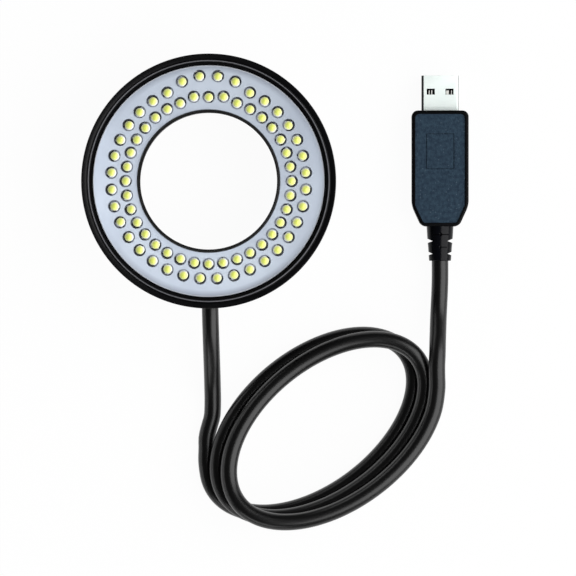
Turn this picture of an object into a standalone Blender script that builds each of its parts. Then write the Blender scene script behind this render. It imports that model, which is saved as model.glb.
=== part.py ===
"""Microscope ring light: 72 lamps in a round housing that clamps round an objective,
fed by a coiled cord with a USB plug. Metres, +Z up. The ring lies on its back, so the
lamps face +Z, the clamp collar and the plug stand on z = 0, and the ring's axis is Z."""

import math

import bmesh
import bpy
from mathutils import Matrix, Vector

# Clearances shared by all pieces
SEAT_GAP = 0.0003
OVERRUN = 0.0010
WELD = 0.000001

# Facets of the round forms
RING_SIDES = 48
BORE_SIDES = 12
LAMP_SIDES = 8
SCREW_SIDES = 10
RELIEF_SIDES = 16
SMOOTH_ANGLE = math.radians(35)

# Clamp collar, back cover and bore tube
BORE_SHARE = 0.5439
COLLAR_WALL = 0.0030
COLLAR_LENGTH = 0.0090
COLLAR_FILLET = 0.0008
COVER_THICKNESS = 0.0018
EDGE_BREAK = 0.0004
TUBE_WALL = 0.0012
LIP_WALL = 0.00065
LIP_INSET = 0.0003
LIP_STEP = 0.0015
LIP_STAND = 0.0007
LIP_ROUND = 0.00018

# Housing and its rim
RIM_RADIUS = 0.0410
RIM_OVERHANG = 0.0030
WALL_THICKNESS = 0.0022
RIM_COVE = 0.0006
RIM_STAND = 0.0018
RIM_EDGE_ROUND = 0.0012
RIM_EDGE_DROP = 0.00024
RIM_LAND = 0.0009
BEAD_INSET = 0.0024
BEAD_WIDTH = 0.0005
GROOVE_DEPTH = 0.0006

# Lamp plate, board and lamps
PLATE_INSET = 0.0037
PLATE_THICKNESS = 0.0010
PLATE_EDGE = 0.00015
BOARD_THICKNESS = 0.0016
LAMP_COUNT = 36
INNER_LAMP_SHARE = 0.3185
OUTER_LAMP_SHARE = 0.6667
LAMP_HOLE_SHARE = 0.4308
LAMP_GAP = 0.0005
LAMP_HEIGHT = 0.0050
LAMP_ROOT = 0.0003
LAMP_SHOULDER_SHARE = 0.74

# Resistors under the board, one for each group of six lamps
RESISTOR_COUNT = 12
RESISTOR_LENGTH = 0.0032
RESISTOR_WIDTH = 0.0016
RESISTOR_HEIGHT = 0.0006

# Pillars in the housing, with the cover screws and the board screws
PILLAR_INSET = 0.0026
PILLAR_RADIUS = 0.0022
COVER_SCREW_ANGLES = (45, 135, 225, 315)
BOARD_SCREW_ANGLES = (90, 210, 330)
COVER_SCREW_RADIUS = 0.0009
COVER_SCREW_HEAD = 0.0019
COVER_SCREW_CONE = 0.0010
COVER_SCREW_LENGTH = 0.0062
BOARD_SCREW_RADIUS = 0.0008
BOARD_SCREW_HEAD_HEIGHT = 0.0011
BOARD_SCREW_CROWN_SHARE = 0.73
BOARD_SCREW_LENGTH = 0.0058

# Thumbscrews, with their inserts and soft tips
CLAMP_ANGLES = (90, 210, 330)
BOSS_EDGE = 0.0002
BOSS_REACH = 0.0042
INSERT_RADIUS = 0.0029
INSERT_LENGTH = 0.0036
CLAMP_SHANK_RADIUS = 0.0020
CLAMP_SHANK_INSET = 0.0023
CLAMP_HEAD_INSET = 0.0005
CLAMP_HEAD_LENGTH = 0.0050
CLAMP_HEAD_EDGE = 0.0006
CLAMP_HEAD_CHAMFER = 0.0005
CLAMP_SHOULDER_RADIUS = 0.0029
CLAMP_SHOULDER_LENGTH = 0.0010
FLUTE_COUNT = 16
FLUTE_DEPTH = 0.0004
TIP_RADIUS = 0.0019
TIP_RECESS = 0.0003
TIP_SPIGOT_RADIUS = 0.0009
TIP_SPIGOT_LENGTH = 0.0020

# Cord: free stretches, coil and the held end inside the housing
CORD_RADIUS = 0.0027
CORD_SPACING = 0.0052
CORD_HELD = 0.0024
COIL_TURNS = 2.5
COIL_POINTS_PER_TURN = 24
COIL_LONG_AXIS = 0.03765
COIL_SHORT_AXIS = 0.02235
COIL_TILT = math.radians(38.1)
COIL_ASIDE = 0.0319
COIL_BEHIND = 0.0371
COIL_DRIFT = (0.0036, -0.00136)
COIL_GAP = 0.0007
COIL_CLIMB_SHARE = 0.38
COIL_REACH_SHARE = 0.08

# Grommet in the housing wall, and the two wires to the board
GROMMET_WALL = 0.0003
GROMMET_FLANGE_WIDTH = 0.0005
GROMMET_FLANGE_THICKNESS = 0.0010
GROMMET_NOSE_WALL = 0.0004
GROMMET_NOSE_LENGTH = 0.0011
WIRE_RADIUS = 0.0006
WIRE_SPREAD = 0.0012
WIRE_RUN = 0.0013
PAD_SPREAD = 0.0030
PAD_INSET = 0.0054

# Plug: moulded body with an inset panel on each side
PLUG_X = 0.0747
PLUG_AHEAD = 0.0262
PLUG_HALF_WIDTH = 0.0092
PLUG_LENGTH = 0.0375
PLUG_THICKNESS = 0.0090
PLUG_CORNER = 0.0022
PLUG_CORNER_STEPS = 4
PLUG_REAR_HALF_WIDTH = 0.0061
PLUG_TAPER_LENGTH = 0.0068
PLUG_CHAMFER = 0.0007
PANEL_MARGIN = 0.0011
PANEL_THICKNESS = 0.0008

# USB shell, tongue and contacts, to the standard plug's sizes
SHELL_WIDTH = 0.0120
SHELL_HEIGHT = 0.0045
SHELL_WALL = 0.0003
SHELL_CORNER = 0.0006
SHELL_REACH = 0.0113
SHELL_HELD = 0.0055
SHELL_CORNER_STEPS = 3
MOUTH_CORNER_STEPS = 2
WINDOW_OFFSET = 0.00303
WINDOW_WIDTH = 0.0026
WINDOW_LENGTH = 0.0019
WINDOW_FROM_TIP = 0.0052
TONGUE_RECESS = 0.0006
TONGUE_LENGTH = 0.0190
TONGUE_TOP = 0.0001
CONTACT_OFFSETS = (-0.0035, -0.0010, 0.0010, 0.0035)
CONTACT_WIDTH = 0.0010
CONTACT_THICKNESS = 0.00025
CONTACT_RECESS = 0.0011
PLUG_CAVITY = 0.0210
PLUG_WIRE_RADIUS = 0.0005
PLUG_WIRE_LENGTH = 0.0130

# Strain relief: a collar and two ribs on a core
RELIEF_COLLAR_WALL = 0.00165
RELIEF_COLLAR_LENGTH = 0.0036
RELIEF_SLOT = 0.0011
RELIEF_CORE_WALL = 0.0001
RELIEF_RIB_WALLS = (0.00118, 0.00085)
RELIEF_RIB_LENGTHS = (0.0030, 0.0020)
RELIEF_EDGE = 0.0003

# Free cord from the grommet down to the coil, each point as the distance to the side,
# the share of the way back to the coil, and the share of the cord's height left
LEAD_ROUTE = (
    (0.00040, 0.0, 1.0),
    (0.00048, 0.069, 0.991),
    (0.00060, 0.162, 0.928),
    (0.00073, 0.262, 0.774),
    (0.00087, 0.362, 0.565),
    (0.00100, 0.462, 0.347),
    (0.00110, 0.562, 0.164),
    (0.00118, 0.673, 0.037),
    (0.00101, 0.773, 0.0),
    (0.00041, 0.828, 0.0),
    (-0.00029, 0.884, 0.0),
)

# Free cord from the top of the coil down to the strain relief, as shares of the way
TAIL_ROUTE = (
    (0.15, 0.173, 0.095),
    (0.24, 0.272, 0.270),
    (0.37, 0.382, 0.527),
    (0.51, 0.493, 0.770),
    (0.69, 0.603, 0.932),
    (0.87, 0.713, 1.0),
)

# Radii that follow from the rim and the clearances
BORE_RADIUS = RIM_RADIUS * BORE_SHARE
COLLAR_OUTER = BORE_RADIUS + COLLAR_WALL
TUBE_OUTER = BORE_RADIUS + TUBE_WALL
LIP_RADIUS = BORE_RADIUS - LIP_INSET
LIP_OUTER = LIP_RADIUS + LIP_WALL
WALL_RADIUS = RIM_RADIUS - RIM_OVERHANG
WALL_INNER = WALL_RADIUS - WALL_THICKNESS
COVER_RADIUS = WALL_INNER - SEAT_GAP
BEAD_RADIUS = RIM_RADIUS - BEAD_INSET
PLATE_RADIUS = RIM_RADIUS - PLATE_INSET
PLATE_SEAT = PLATE_RADIUS + SEAT_GAP
PLATE_BORE = LIP_OUTER + SEAT_GAP
BOARD_BORE = TUBE_OUTER + SEAT_GAP
BOARD_RADIUS = WALL_INNER - SEAT_GAP
PILLAR_CIRCLE = WALL_INNER - PILLAR_INSET
INNER_LAMP_CIRCLE = BORE_RADIUS + (WALL_INNER - BORE_RADIUS) * INNER_LAMP_SHARE
OUTER_LAMP_CIRCLE = BORE_RADIUS + (WALL_INNER - BORE_RADIUS) * OUTER_LAMP_SHARE
LAMP_HOLE_RADIUS = 2 * math.pi * INNER_LAMP_CIRCLE / LAMP_COUNT * LAMP_HOLE_SHARE
LAMP_RADIUS = LAMP_HOLE_RADIUS - LAMP_GAP

# The board screws stand between lamps, so their heads are as wide as a lamp.
BOARD_SCREW_HEAD = LAMP_RADIUS
BOARD_SCREW_CROWN = BOARD_SCREW_HEAD * BOARD_SCREW_CROWN_SHARE

# Places along a thumbscrew, as distances from the ring's axis
BOSS_END = COLLAR_OUTER + BOSS_REACH
CLAMP_SHANK_START = BORE_RADIUS + CLAMP_SHANK_INSET
CLAMP_HEAD_START = RIM_RADIUS - CLAMP_HEAD_INSET - CLAMP_HEAD_LENGTH
CLAMP_HEIGHT = COLLAR_LENGTH / 2
CLAMP_HEAD_RADIUS = CLAMP_HEIGHT - CLAMP_HEAD_EDGE
BOSS_RADIUS = CLAMP_HEIGHT - BOSS_EDGE
INSERT_BORE = CLAMP_SHANK_RADIUS + SEAT_GAP
INSERT_SEAT = INSERT_RADIUS + SEAT_GAP

# Cord, grommet and strain relief, with the point where the cord leaves the grommet
CORD_BORE = CORD_RADIUS + SEAT_GAP
GROMMET_NECK_RADIUS = CORD_BORE + GROMMET_WALL
GROMMET_FLANGE_RADIUS = GROMMET_NECK_RADIUS + GROMMET_FLANGE_WIDTH
GROMMET_NOSE_RADIUS = CORD_BORE + GROMMET_NOSE_WALL
GROMMET_HOLE = GROMMET_NECK_RADIUS + SEAT_GAP
GROMMET_FLANGE = WALL_RADIUS + SEAT_GAP
GROMMET_NOSE = GROMMET_FLANGE + GROMMET_FLANGE_THICKNESS + GROMMET_NOSE_LENGTH
CORD_EXIT = GROMMET_NOSE + SEAT_GAP
CORD_HELD_START = WALL_INNER - CORD_HELD
PAD_CIRCLE = CORD_HELD_START - PAD_INSET
COIL_CENTRE = (COIL_ASIDE, -CORD_EXIT - COIL_BEHIND)
COIL_PITCH = 2 * CORD_RADIUS + COIL_GAP
PLUG_REAR = PLUG_AHEAD - CORD_EXIT
PLUG_MIDDLE = PLUG_THICKNESS / 2
RELIEF_COLLAR_RADIUS = CORD_RADIUS + RELIEF_COLLAR_WALL
RELIEF_CORE_RADIUS = CORD_RADIUS + RELIEF_CORE_WALL

# Levels along the ring's axis, from the collar's end to the front. The space between
# the cover and the board is as high as the cord that is held in it.
COVER_TOP = COLLAR_LENGTH + COVER_THICKNESS
CORD_HEIGHT = COVER_TOP + CORD_BORE
BOARD_BOTTOM = CORD_HEIGHT + CORD_BORE
PILLAR_BOTTOM = COVER_TOP + SEAT_GAP
PILLAR_TOP = BOARD_BOTTOM - SEAT_GAP
BOARD_TOP = BOARD_BOTTOM + BOARD_THICKNESS
RIM_UNDERSIDE = BOARD_TOP
LAMP_TOP = BOARD_TOP + LAMP_HEIGHT
DOME_BASE = LAMP_TOP - LAMP_RADIUS
PLATE_BOTTOM = DOME_BASE - PLATE_THICKNESS / 2
PLATE_TOP = PLATE_BOTTOM + PLATE_THICKNESS
LEDGE = PLATE_BOTTOM - SEAT_GAP
LIP_TOP = PLATE_TOP + LIP_STAND
RIM_TOP = PLATE_TOP + RIM_STAND

BLACK_PLASTIC = ((0.020, 0.020, 0.022), 0.42, 0.0)
BLACK_RUBBER = ((0.016, 0.016, 0.017), 0.55, 0.0)
SLATE_PLASTIC = ((0.115, 0.125, 0.145), 0.60, 0.0)
SILVER_PLATE = ((0.560, 0.600, 0.650), 0.38, 0.65)
LAMP_BOARD = ((0.780, 0.800, 0.640), 0.30, 0.0)
STEEL = ((0.560, 0.565, 0.580), 0.30, 1.0)
BRASS = ((0.760, 0.560, 0.230), 0.32, 1.0)
NYLON = ((0.850, 0.840, 0.780), 0.50, 0.0)
WHITE_PLASTIC = ((0.800, 0.800, 0.780), 0.45, 0.0)
RED_WIRE = ((0.600, 0.030, 0.025), 0.50, 0.0)
CERAMIC = ((0.045, 0.045, 0.048), 0.40, 0.0)
GOLD = ((0.850, 0.640, 0.250), 0.25, 1.0)


def clear_scene():
    for obj in list(bpy.data.objects):
        bpy.data.objects.remove(obj, do_unlink=True)


def give_material(obj, finish):
    colour, roughness, metallic = finish
    material = bpy.data.materials.new(obj.name)
    material.use_nodes = True
    shader = material.node_tree.nodes["Principled BSDF"]
    shader.inputs["Base Color"].default_value = (*colour, 1.0)
    shader.inputs["Roughness"].default_value = roughness
    shader.inputs["Metallic"].default_value = metallic
    obj.data.materials.append(material)


def add_object(name, bm, finish=None):
    """Closes a bmesh into an object. Without a finish it is a tool for a Boolean."""
    bmesh.ops.remove_doubles(bm, verts=bm.verts, dist=WELD)
    bmesh.ops.recalc_face_normals(bm, faces=bm.faces)
    mesh = bpy.data.meshes.new(name)
    bm.to_mesh(mesh)
    bm.free()
    mesh.shade_smooth()
    mesh.set_sharp_from_angle(angle=SMOOTH_ANGLE)
    obj = bpy.data.objects.new(name, mesh)
    bpy.context.scene.collection.objects.link(obj)
    if finish is None:
        obj.hide_render = True
        obj.display_type = "WIRE"
    else:
        give_material(obj, finish)
    return obj


def boolean(obj, tool, operation):
    modifier = obj.modifiers.new(tool.name, "BOOLEAN")
    modifier.operation = operation
    modifier.solver = "EXACT"
    modifier.object = tool


def turned(profile, sides, closed=True):
    """Spins (radius, height) points about Z. An open profile starts and ends on the axis."""
    bm = bmesh.new()
    verts = [bm.verts.new((radius, 0, height)) for radius, height in profile]
    ends = verts[1:] + verts[:1] if closed else verts[1:]
    edges = [bm.edges.new(pair) for pair in zip(verts, ends)]
    bmesh.ops.spin(
        bm, geom=verts + edges, cent=(0, 0, 0), axis=(0, 0, 1),
        angle=2 * math.pi, steps=sides, use_merge=True,
    )
    bmesh.ops.remove_doubles(bm, verts=bm.verts, dist=WELD)
    return bm


def lofted(rings):
    """Skins a stack of outlines, each a list of (x, y, z) with as many points, and caps it."""
    bm = bmesh.new()
    rows = [[bm.verts.new(point) for point in ring] for ring in rings]
    for low, high in zip(rows, rows[1:]):
        for i in range(len(low)):
            j = (i + 1) % len(low)
            bm.faces.new((low[i], low[j], high[j], high[i]))
    bm.faces.new(rows[0][::-1])
    bm.faces.new(rows[-1])
    return bm


def prism(outline, low, high):
    return lofted([[(x, y, z) for x, y in outline] for z in (low, high)])


def block(low, high):
    """A box between two corners."""
    outline = [(low[0], low[1]), (high[0], low[1]), (high[0], high[1]), (low[0], high[1])]
    return prism(outline, low[2], high[2])


def cylinder(radius, low, high, sides):
    return turned([(0, low), (radius, low), (radius, high), (0, high)], sides, closed=False)


def gathered(bm, places):
    """Copies of one solid at each of the places, as one bmesh."""
    pattern = bpy.data.meshes.new("pattern")
    bm.to_mesh(pattern)
    bm.free()
    whole = bmesh.new()
    for place in places:
        before = len(whole.verts)
        whole.from_mesh(pattern)
        whole.verts.ensure_lookup_table()
        bmesh.ops.transform(whole, matrix=place, verts=whole.verts[before:])
    bpy.data.meshes.remove(pattern)
    return whole


def on_circle(radius, degrees, height=0.0):
    """A place on a circle round the ring's axis, its local +X pointing outwards."""
    turn = Matrix.Rotation(math.radians(degrees), 4, "Z")
    return turn @ Matrix.Translation((radius, 0, height))


def aim(obj, origin, direction):
    """Puts an object's origin at a point and turns its local +Z along a direction."""
    obj.location = origin
    obj.rotation_mode = "QUATERNION"
    obj.rotation_quaternion = Vector(direction).to_track_quat("Z", "Y")


def clamp_frame(obj, degrees):
    """Sets an object on a thumbscrew's axis at the boss end, its local +Z pointing inwards."""
    angle = math.radians(degrees)
    outwards = Vector((math.cos(angle), math.sin(angle), 0))
    origin = outwards * BOSS_END
    aim(obj, (origin.x, origin.y, CLAMP_HEIGHT), -outwards)


def upright(obj):
    """The turn about an aimed object's own axis that sets its local +X along world +Z."""
    local = obj.rotation_quaternion.inverted() @ Vector((0, 0, 1))
    return Matrix.Rotation(math.atan2(local.y, local.x), 4, "Z").to_quaternion()


def half_round(radius, reach, steps):
    """A half circle round the origin on its -X side, with straight sides out to +X."""
    angles = [math.pi / 2 + math.pi * i / steps for i in range(steps + 1)]
    arc = [(radius * math.cos(a), radius * math.sin(a)) for a in angles]
    return arc + [(reach, -radius), (reach, radius)]


def lamp_places():
    for k in range(LAMP_COUNT):
        yield on_circle(INNER_LAMP_CIRCLE, 360 * k / LAMP_COUNT)
        yield on_circle(OUTER_LAMP_CIRCLE, 360 * (k + 0.5) / LAMP_COUNT)


def make_housing():
    """Outer wall, cove, rim with its bead and groove, and the ledge that carries the plate."""
    bead_inner = BEAD_RADIUS - BEAD_WIDTH / 2
    bead_outer = BEAD_RADIUS + BEAD_WIDTH / 2
    land_outer = RIM_RADIUS - RIM_EDGE_ROUND / 2
    land_inner = land_outer - RIM_LAND
    groove = (bead_outer + land_inner) / 2
    profile = [
        (WALL_INNER, COLLAR_LENGTH),
        (WALL_RADIUS - EDGE_BREAK, COLLAR_LENGTH),
        (WALL_RADIUS, COLLAR_LENGTH + EDGE_BREAK),
        (WALL_RADIUS, RIM_UNDERSIDE - RIM_COVE),
        (WALL_RADIUS + RIM_COVE, RIM_UNDERSIDE),
        (RIM_RADIUS - RIM_COVE, RIM_UNDERSIDE),
        (RIM_RADIUS, RIM_UNDERSIDE + RIM_COVE),
        (RIM_RADIUS, RIM_TOP - RIM_EDGE_ROUND),
        (land_outer, RIM_TOP - RIM_EDGE_DROP),
        (land_inner, RIM_TOP - EDGE_BREAK / 2),
        (groove, RIM_TOP - GROOVE_DEPTH),
        (bead_outer, RIM_TOP - EDGE_BREAK / 2),
        (BEAD_RADIUS, RIM_TOP),
        (bead_inner, RIM_TOP - EDGE_BREAK / 2),
        (PLATE_SEAT, PLATE_TOP + EDGE_BREAK),
        (PLATE_SEAT, LEDGE),
        (WALL_INNER, LEDGE),
    ]
    housing = add_object("housing", turned(profile, RING_SIDES), BLACK_PLASTIC)

    reach = WALL_INNER + WALL_THICKNESS / 2 - PILLAR_CIRCLE
    outline = half_round(PILLAR_RADIUS, reach, SCREW_SIDES // 2)
    pillar = prism(outline, PILLAR_BOTTOM, PILLAR_TOP)
    angles = COVER_SCREW_ANGLES + BOARD_SCREW_ANGLES
    places = [on_circle(PILLAR_CIRCLE, angle) for angle in angles]
    boolean(housing, add_object("housing_pillars", gathered(pillar, places)), "UNION")

    depth = COLLAR_LENGTH + COVER_SCREW_LENGTH + SEAT_GAP
    hole = cylinder(COVER_SCREW_RADIUS + SEAT_GAP, COLLAR_LENGTH, depth, SCREW_SIDES)
    places = [on_circle(PILLAR_CIRCLE, angle) for angle in COVER_SCREW_ANGLES]
    boolean(housing, add_object("cover_screw_holes", gathered(hole, places)), "DIFFERENCE")

    depth = BOARD_TOP - BOARD_SCREW_LENGTH
    hole = cylinder(BOARD_SCREW_RADIUS + SEAT_GAP, depth, BOARD_BOTTOM, SCREW_SIDES)
    places = [on_circle(PILLAR_CIRCLE, angle) for angle in BOARD_SCREW_ANGLES]
    boolean(housing, add_object("board_screw_holes", gathered(hole, places)), "DIFFERENCE")

    bore = cylinder(GROMMET_HOLE, WALL_INNER - OVERRUN, WALL_RADIUS + OVERRUN, BORE_SIDES)
    cutter = add_object("cord_hole", bore)
    aim(cutter, (0, 0, CORD_HEIGHT), (0, -1, 0))
    boolean(housing, cutter, "DIFFERENCE")


def make_back_cover():
    """Cover disc with the clamp collar behind it and the bore tube and its lip in front."""
    profile = [
        (COVER_RADIUS - EDGE_BREAK, COLLAR_LENGTH),
        (COVER_RADIUS, COLLAR_LENGTH + EDGE_BREAK),
        (COVER_RADIUS, COVER_TOP),
        (TUBE_OUTER, COVER_TOP),
        (TUBE_OUTER, LEDGE),
        (LIP_OUTER, LEDGE),
        (LIP_OUTER, LIP_TOP - LIP_ROUND),
        (LIP_OUTER - LIP_ROUND, LIP_TOP),
        (LIP_RADIUS + LIP_ROUND, LIP_TOP),
        (LIP_RADIUS, LIP_TOP - LIP_ROUND),
        (LIP_RADIUS, LIP_TOP - LIP_STEP),
        (BORE_RADIUS, LIP_TOP - LIP_STEP - EDGE_BREAK),
        (BORE_RADIUS, EDGE_BREAK),
        (BORE_RADIUS + EDGE_BREAK, 0),
        (COLLAR_OUTER - EDGE_BREAK, 0),
        (COLLAR_OUTER, EDGE_BREAK),
        (COLLAR_OUTER, COLLAR_LENGTH - COLLAR_FILLET),
        (COLLAR_OUTER + COLLAR_FILLET, COLLAR_LENGTH),
    ]
    cover = add_object("back_cover", turned(profile, RING_SIDES), BLACK_PLASTIC)

    # Each boss is half round below its screw and runs straight up into the disc.
    reach = COLLAR_LENGTH + COVER_THICKNESS / 2 - CLAMP_HEIGHT
    outline = half_round(BOSS_RADIUS, reach, SCREW_SIDES)
    root = BOSS_END - (BORE_RADIUS + COLLAR_OUTER) / 2
    for number, degrees in enumerate(CLAMP_ANGLES, start=1):
        boss = add_object(f"clamp_boss_{number}", prism(outline, 0, root))
        clamp_frame(boss, degrees)
        boss.rotation_quaternion @= upright(boss)
        boolean(cover, boss, "UNION")

    seat_end = INSERT_LENGTH + SEAT_GAP
    passage_end = BOSS_END - BORE_RADIUS + OVERRUN
    for number, degrees in enumerate(CLAMP_ANGLES, start=1):
        seat = cylinder(INSERT_SEAT, -OVERRUN, seat_end, BORE_SIDES)
        seat = add_object(f"insert_seat_{number}", seat)
        clamp_frame(seat, degrees)
        boolean(cover, seat, "DIFFERENCE")
        passage = cylinder(INSERT_BORE, -OVERRUN, passage_end, BORE_SIDES)
        passage = add_object(f"clamp_passage_{number}", passage)
        clamp_frame(passage, degrees)
        boolean(cover, passage, "DIFFERENCE")

    head = COVER_SCREW_HEAD + SEAT_GAP
    shank = COVER_SCREW_RADIUS + SEAT_GAP
    countersink = turned([
        (0, COLLAR_LENGTH - OVERRUN),
        (head, COLLAR_LENGTH - OVERRUN),
        (head, COLLAR_LENGTH),
        (shank, COLLAR_LENGTH + COVER_SCREW_CONE),
        (shank, COVER_TOP + OVERRUN),
        (0, COVER_TOP + OVERRUN),
    ], SCREW_SIDES, closed=False)
    places = [on_circle(PILLAR_CIRCLE, angle) for angle in COVER_SCREW_ANGLES]
    boolean(cover, add_object("countersinks", gathered(countersink, places)), "DIFFERENCE")


def make_lamp_plate():
    """Bright annular plate with one hole for each lamp."""
    plate = add_object("led_plate", turned([
        (PLATE_BORE, PLATE_BOTTOM),
        (PLATE_RADIUS, PLATE_BOTTOM),
        (PLATE_RADIUS, PLATE_TOP - PLATE_EDGE),
        (PLATE_RADIUS - PLATE_EDGE, PLATE_TOP),
        (PLATE_BORE + PLATE_EDGE, PLATE_TOP),
        (PLATE_BORE, PLATE_TOP - PLATE_EDGE),
    ], RING_SIDES), SILVER_PLATE)
    hole = cylinder(LAMP_HOLE_RADIUS, PLATE_BOTTOM - OVERRUN, PLATE_TOP + OVERRUN, LAMP_SIDES)
    boolean(plate, add_object("lamp_holes", gathered(hole, lamp_places())), "DIFFERENCE")


def make_board():
    """Annular board with its two circles of lamps soldered in."""
    board = add_object("led_board", turned([
        (BOARD_BORE, BOARD_BOTTOM),
        (BOARD_RADIUS, BOARD_BOTTOM),
        (BOARD_RADIUS, BOARD_TOP),
        (BOARD_BORE, BOARD_TOP),
    ], RING_SIDES), LAMP_BOARD)
    shoulder = LAMP_RADIUS * LAMP_SHOULDER_SHARE
    lamp = turned([
        (0, BOARD_TOP - LAMP_ROOT),
        (LAMP_RADIUS, BOARD_TOP - LAMP_ROOT),
        (LAMP_RADIUS, DOME_BASE),
        (shoulder, DOME_BASE + shoulder),
        (0, LAMP_TOP),
    ], LAMP_SIDES, closed=False)
    boolean(board, add_object("lamps", gathered(lamp, lamp_places())), "UNION")

    low, high = BOARD_BOTTOM - OVERRUN, BOARD_TOP + OVERRUN
    hole = cylinder(BOARD_SCREW_RADIUS + SEAT_GAP, low, high, SCREW_SIDES)
    places = [on_circle(PILLAR_CIRCLE, angle) for angle in BOARD_SCREW_ANGLES]
    boolean(board, add_object("board_holes", gathered(hole, places)), "DIFFERENCE")

    top = BOARD_BOTTOM - SEAT_GAP
    for number in range(RESISTOR_COUNT):
        degrees = 360 * (number + 0.5) / RESISTOR_COUNT
        chip = add_object(f"resistor_{number + 1:02d}", block(
            (-RESISTOR_WIDTH / 2, -RESISTOR_LENGTH / 2, top - RESISTOR_HEIGHT),
            (RESISTOR_WIDTH / 2, RESISTOR_LENGTH / 2, top),
        ), CERAMIC)
        chip.matrix_world = on_circle(INNER_LAMP_CIRCLE, degrees)


def make_screws():
    """Countersunk screws through the cover, and pan head screws that hold the board."""
    end = COLLAR_LENGTH + COVER_SCREW_LENGTH
    for number, degrees in enumerate(COVER_SCREW_ANGLES, start=1):
        screw = add_object(f"cover_screw_{number}", turned([
            (0, COLLAR_LENGTH),
            (COVER_SCREW_HEAD, COLLAR_LENGTH),
            (COVER_SCREW_RADIUS, COLLAR_LENGTH + COVER_SCREW_CONE),
            (COVER_SCREW_RADIUS, end - COVER_SCREW_RADIUS),
            (0, end),
        ], SCREW_SIDES, closed=False), STEEL)
        screw.matrix_world = on_circle(PILLAR_CIRCLE, degrees)

    seat = BOARD_TOP + SEAT_GAP
    top = seat + BOARD_SCREW_HEAD_HEIGHT
    tip = BOARD_TOP - BOARD_SCREW_LENGTH + SEAT_GAP
    for number, degrees in enumerate(BOARD_SCREW_ANGLES, start=1):
        screw = add_object(f"board_screw_{number}", turned([
            (0, top),
            (BOARD_SCREW_CROWN, top),
            (BOARD_SCREW_HEAD, top - BOARD_SCREW_HEAD_HEIGHT / 2),
            (BOARD_SCREW_HEAD, seat),
            (BOARD_SCREW_RADIUS, seat),
            (BOARD_SCREW_RADIUS, tip + BOARD_SCREW_RADIUS),
            (0, tip),
        ], SCREW_SIDES, closed=False), STEEL)
        screw.matrix_world = on_circle(PILLAR_CIRCLE, degrees)


def fluted_ring(radius, depth, height):
    """One outline of the grip: each flute is a crest and a trough."""
    points = []
    for step in range(2 * FLUTE_COUNT):
        angle = math.pi * step / FLUTE_COUNT
        reach = radius - depth * (step % 2)
        points.append((reach * math.cos(angle), reach * math.sin(angle), height))
    return points


def make_clamps():
    """Three thumbscrews, each in a brass insert and with a soft tip that doesn't turn."""
    head_end = BOSS_END - CLAMP_HEAD_START
    head_start = head_end - CLAMP_HEAD_LENGTH
    shank_end = BOSS_END - CLAMP_SHANK_START
    shoulder_end = head_end + CLAMP_SHOULDER_LENGTH
    tip_end = BOSS_END - BORE_RADIUS - TIP_RECESS
    socket_radius = TIP_SPIGOT_RADIUS + SEAT_GAP
    socket_end = shank_end - TIP_SPIGOT_LENGTH - SEAT_GAP
    chamfered = CLAMP_HEAD_RADIUS - CLAMP_HEAD_CHAMFER
    for number, degrees in enumerate(CLAMP_ANGLES, start=1):
        insert = add_object(f"clamp_insert_{number}", turned([
            (INSERT_BORE, 0),
            (INSERT_RADIUS, 0),
            (INSERT_RADIUS, INSERT_LENGTH),
            (INSERT_BORE, INSERT_LENGTH),
        ], BORE_SIDES), BRASS)
        clamp_frame(insert, degrees)

        screw = add_object(f"clamp_screw_{number}", lofted([
            fluted_ring(chamfered, 0, head_start),
            fluted_ring(CLAMP_HEAD_RADIUS, FLUTE_DEPTH, head_start + CLAMP_HEAD_CHAMFER),
            fluted_ring(CLAMP_HEAD_RADIUS, FLUTE_DEPTH, head_end - CLAMP_HEAD_CHAMFER),
            fluted_ring(chamfered, 0, head_end),
        ]), STEEL)
        clamp_frame(screw, degrees)
        shank = add_object(f"clamp_shank_{number}", turned([
            (0, head_end - CLAMP_HEAD_LENGTH / 2),
            (CLAMP_SHOULDER_RADIUS, head_end - CLAMP_HEAD_LENGTH / 2),
            (CLAMP_SHOULDER_RADIUS, shoulder_end),
            (CLAMP_SHANK_RADIUS, shoulder_end),
            (CLAMP_SHANK_RADIUS, shank_end),
            (socket_radius, shank_end),
            (socket_radius, socket_end),
            (0, socket_end),
        ], BORE_SIDES, closed=False))
        clamp_frame(shank, degrees)
        boolean(screw, shank, "UNION")

        tip = add_object(f"clamp_tip_{number}", turned([
            (0, shank_end - TIP_SPIGOT_LENGTH),
            (TIP_SPIGOT_RADIUS, shank_end - TIP_SPIGOT_LENGTH),
            (TIP_SPIGOT_RADIUS, shank_end + SEAT_GAP),
            (TIP_RADIUS, shank_end + SEAT_GAP),
            (TIP_RADIUS, tip_end - SEAT_GAP),
            (TIP_RADIUS - SEAT_GAP, tip_end),
            (0, tip_end),
        ], BORE_SIDES, closed=False), NYLON)
        clamp_frame(tip, degrees)


def add_tube(name, points, radius, resolution, finish):
    """A round tube with closed ends along a chain of points."""
    curve = bpy.data.curves.new(name, "CURVE")
    curve.dimensions = "3D"
    curve.bevel_depth = radius
    curve.bevel_resolution = resolution
    curve.use_fill_caps = True
    spline = curve.splines.new("POLY")
    spline.points.add(len(points) - 1)
    for knot, point in zip(spline.points, points):
        knot.co = (*point, 1.0)
    obj = bpy.data.objects.new(name, curve)
    bpy.context.scene.collection.objects.link(obj)
    give_material(obj, finish)
    return obj


def smooth_route(route, spacing):
    """Points about one spacing apart on a smooth curve through the route's points."""
    knots = [Vector(point) for point in route]
    knots = [2 * knots[0] - knots[1]] + knots + [2 * knots[-1] - knots[-2]]
    points = [knots[1]]
    for before, start, end, after in zip(knots, knots[1:], knots[2:], knots[3:]):
        steps = max(1, round((end - start).length / spacing))
        for step in range(1, steps + 1):
            t = step / steps
            bend = (2 * before - 5 * start + 4 * end - after) * t * t
            twist = (3 * start - before - 3 * end + after) * t * t * t
            points.append((2 * start + (end - before) * t + bend + twist) / 2)
    return points


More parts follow.
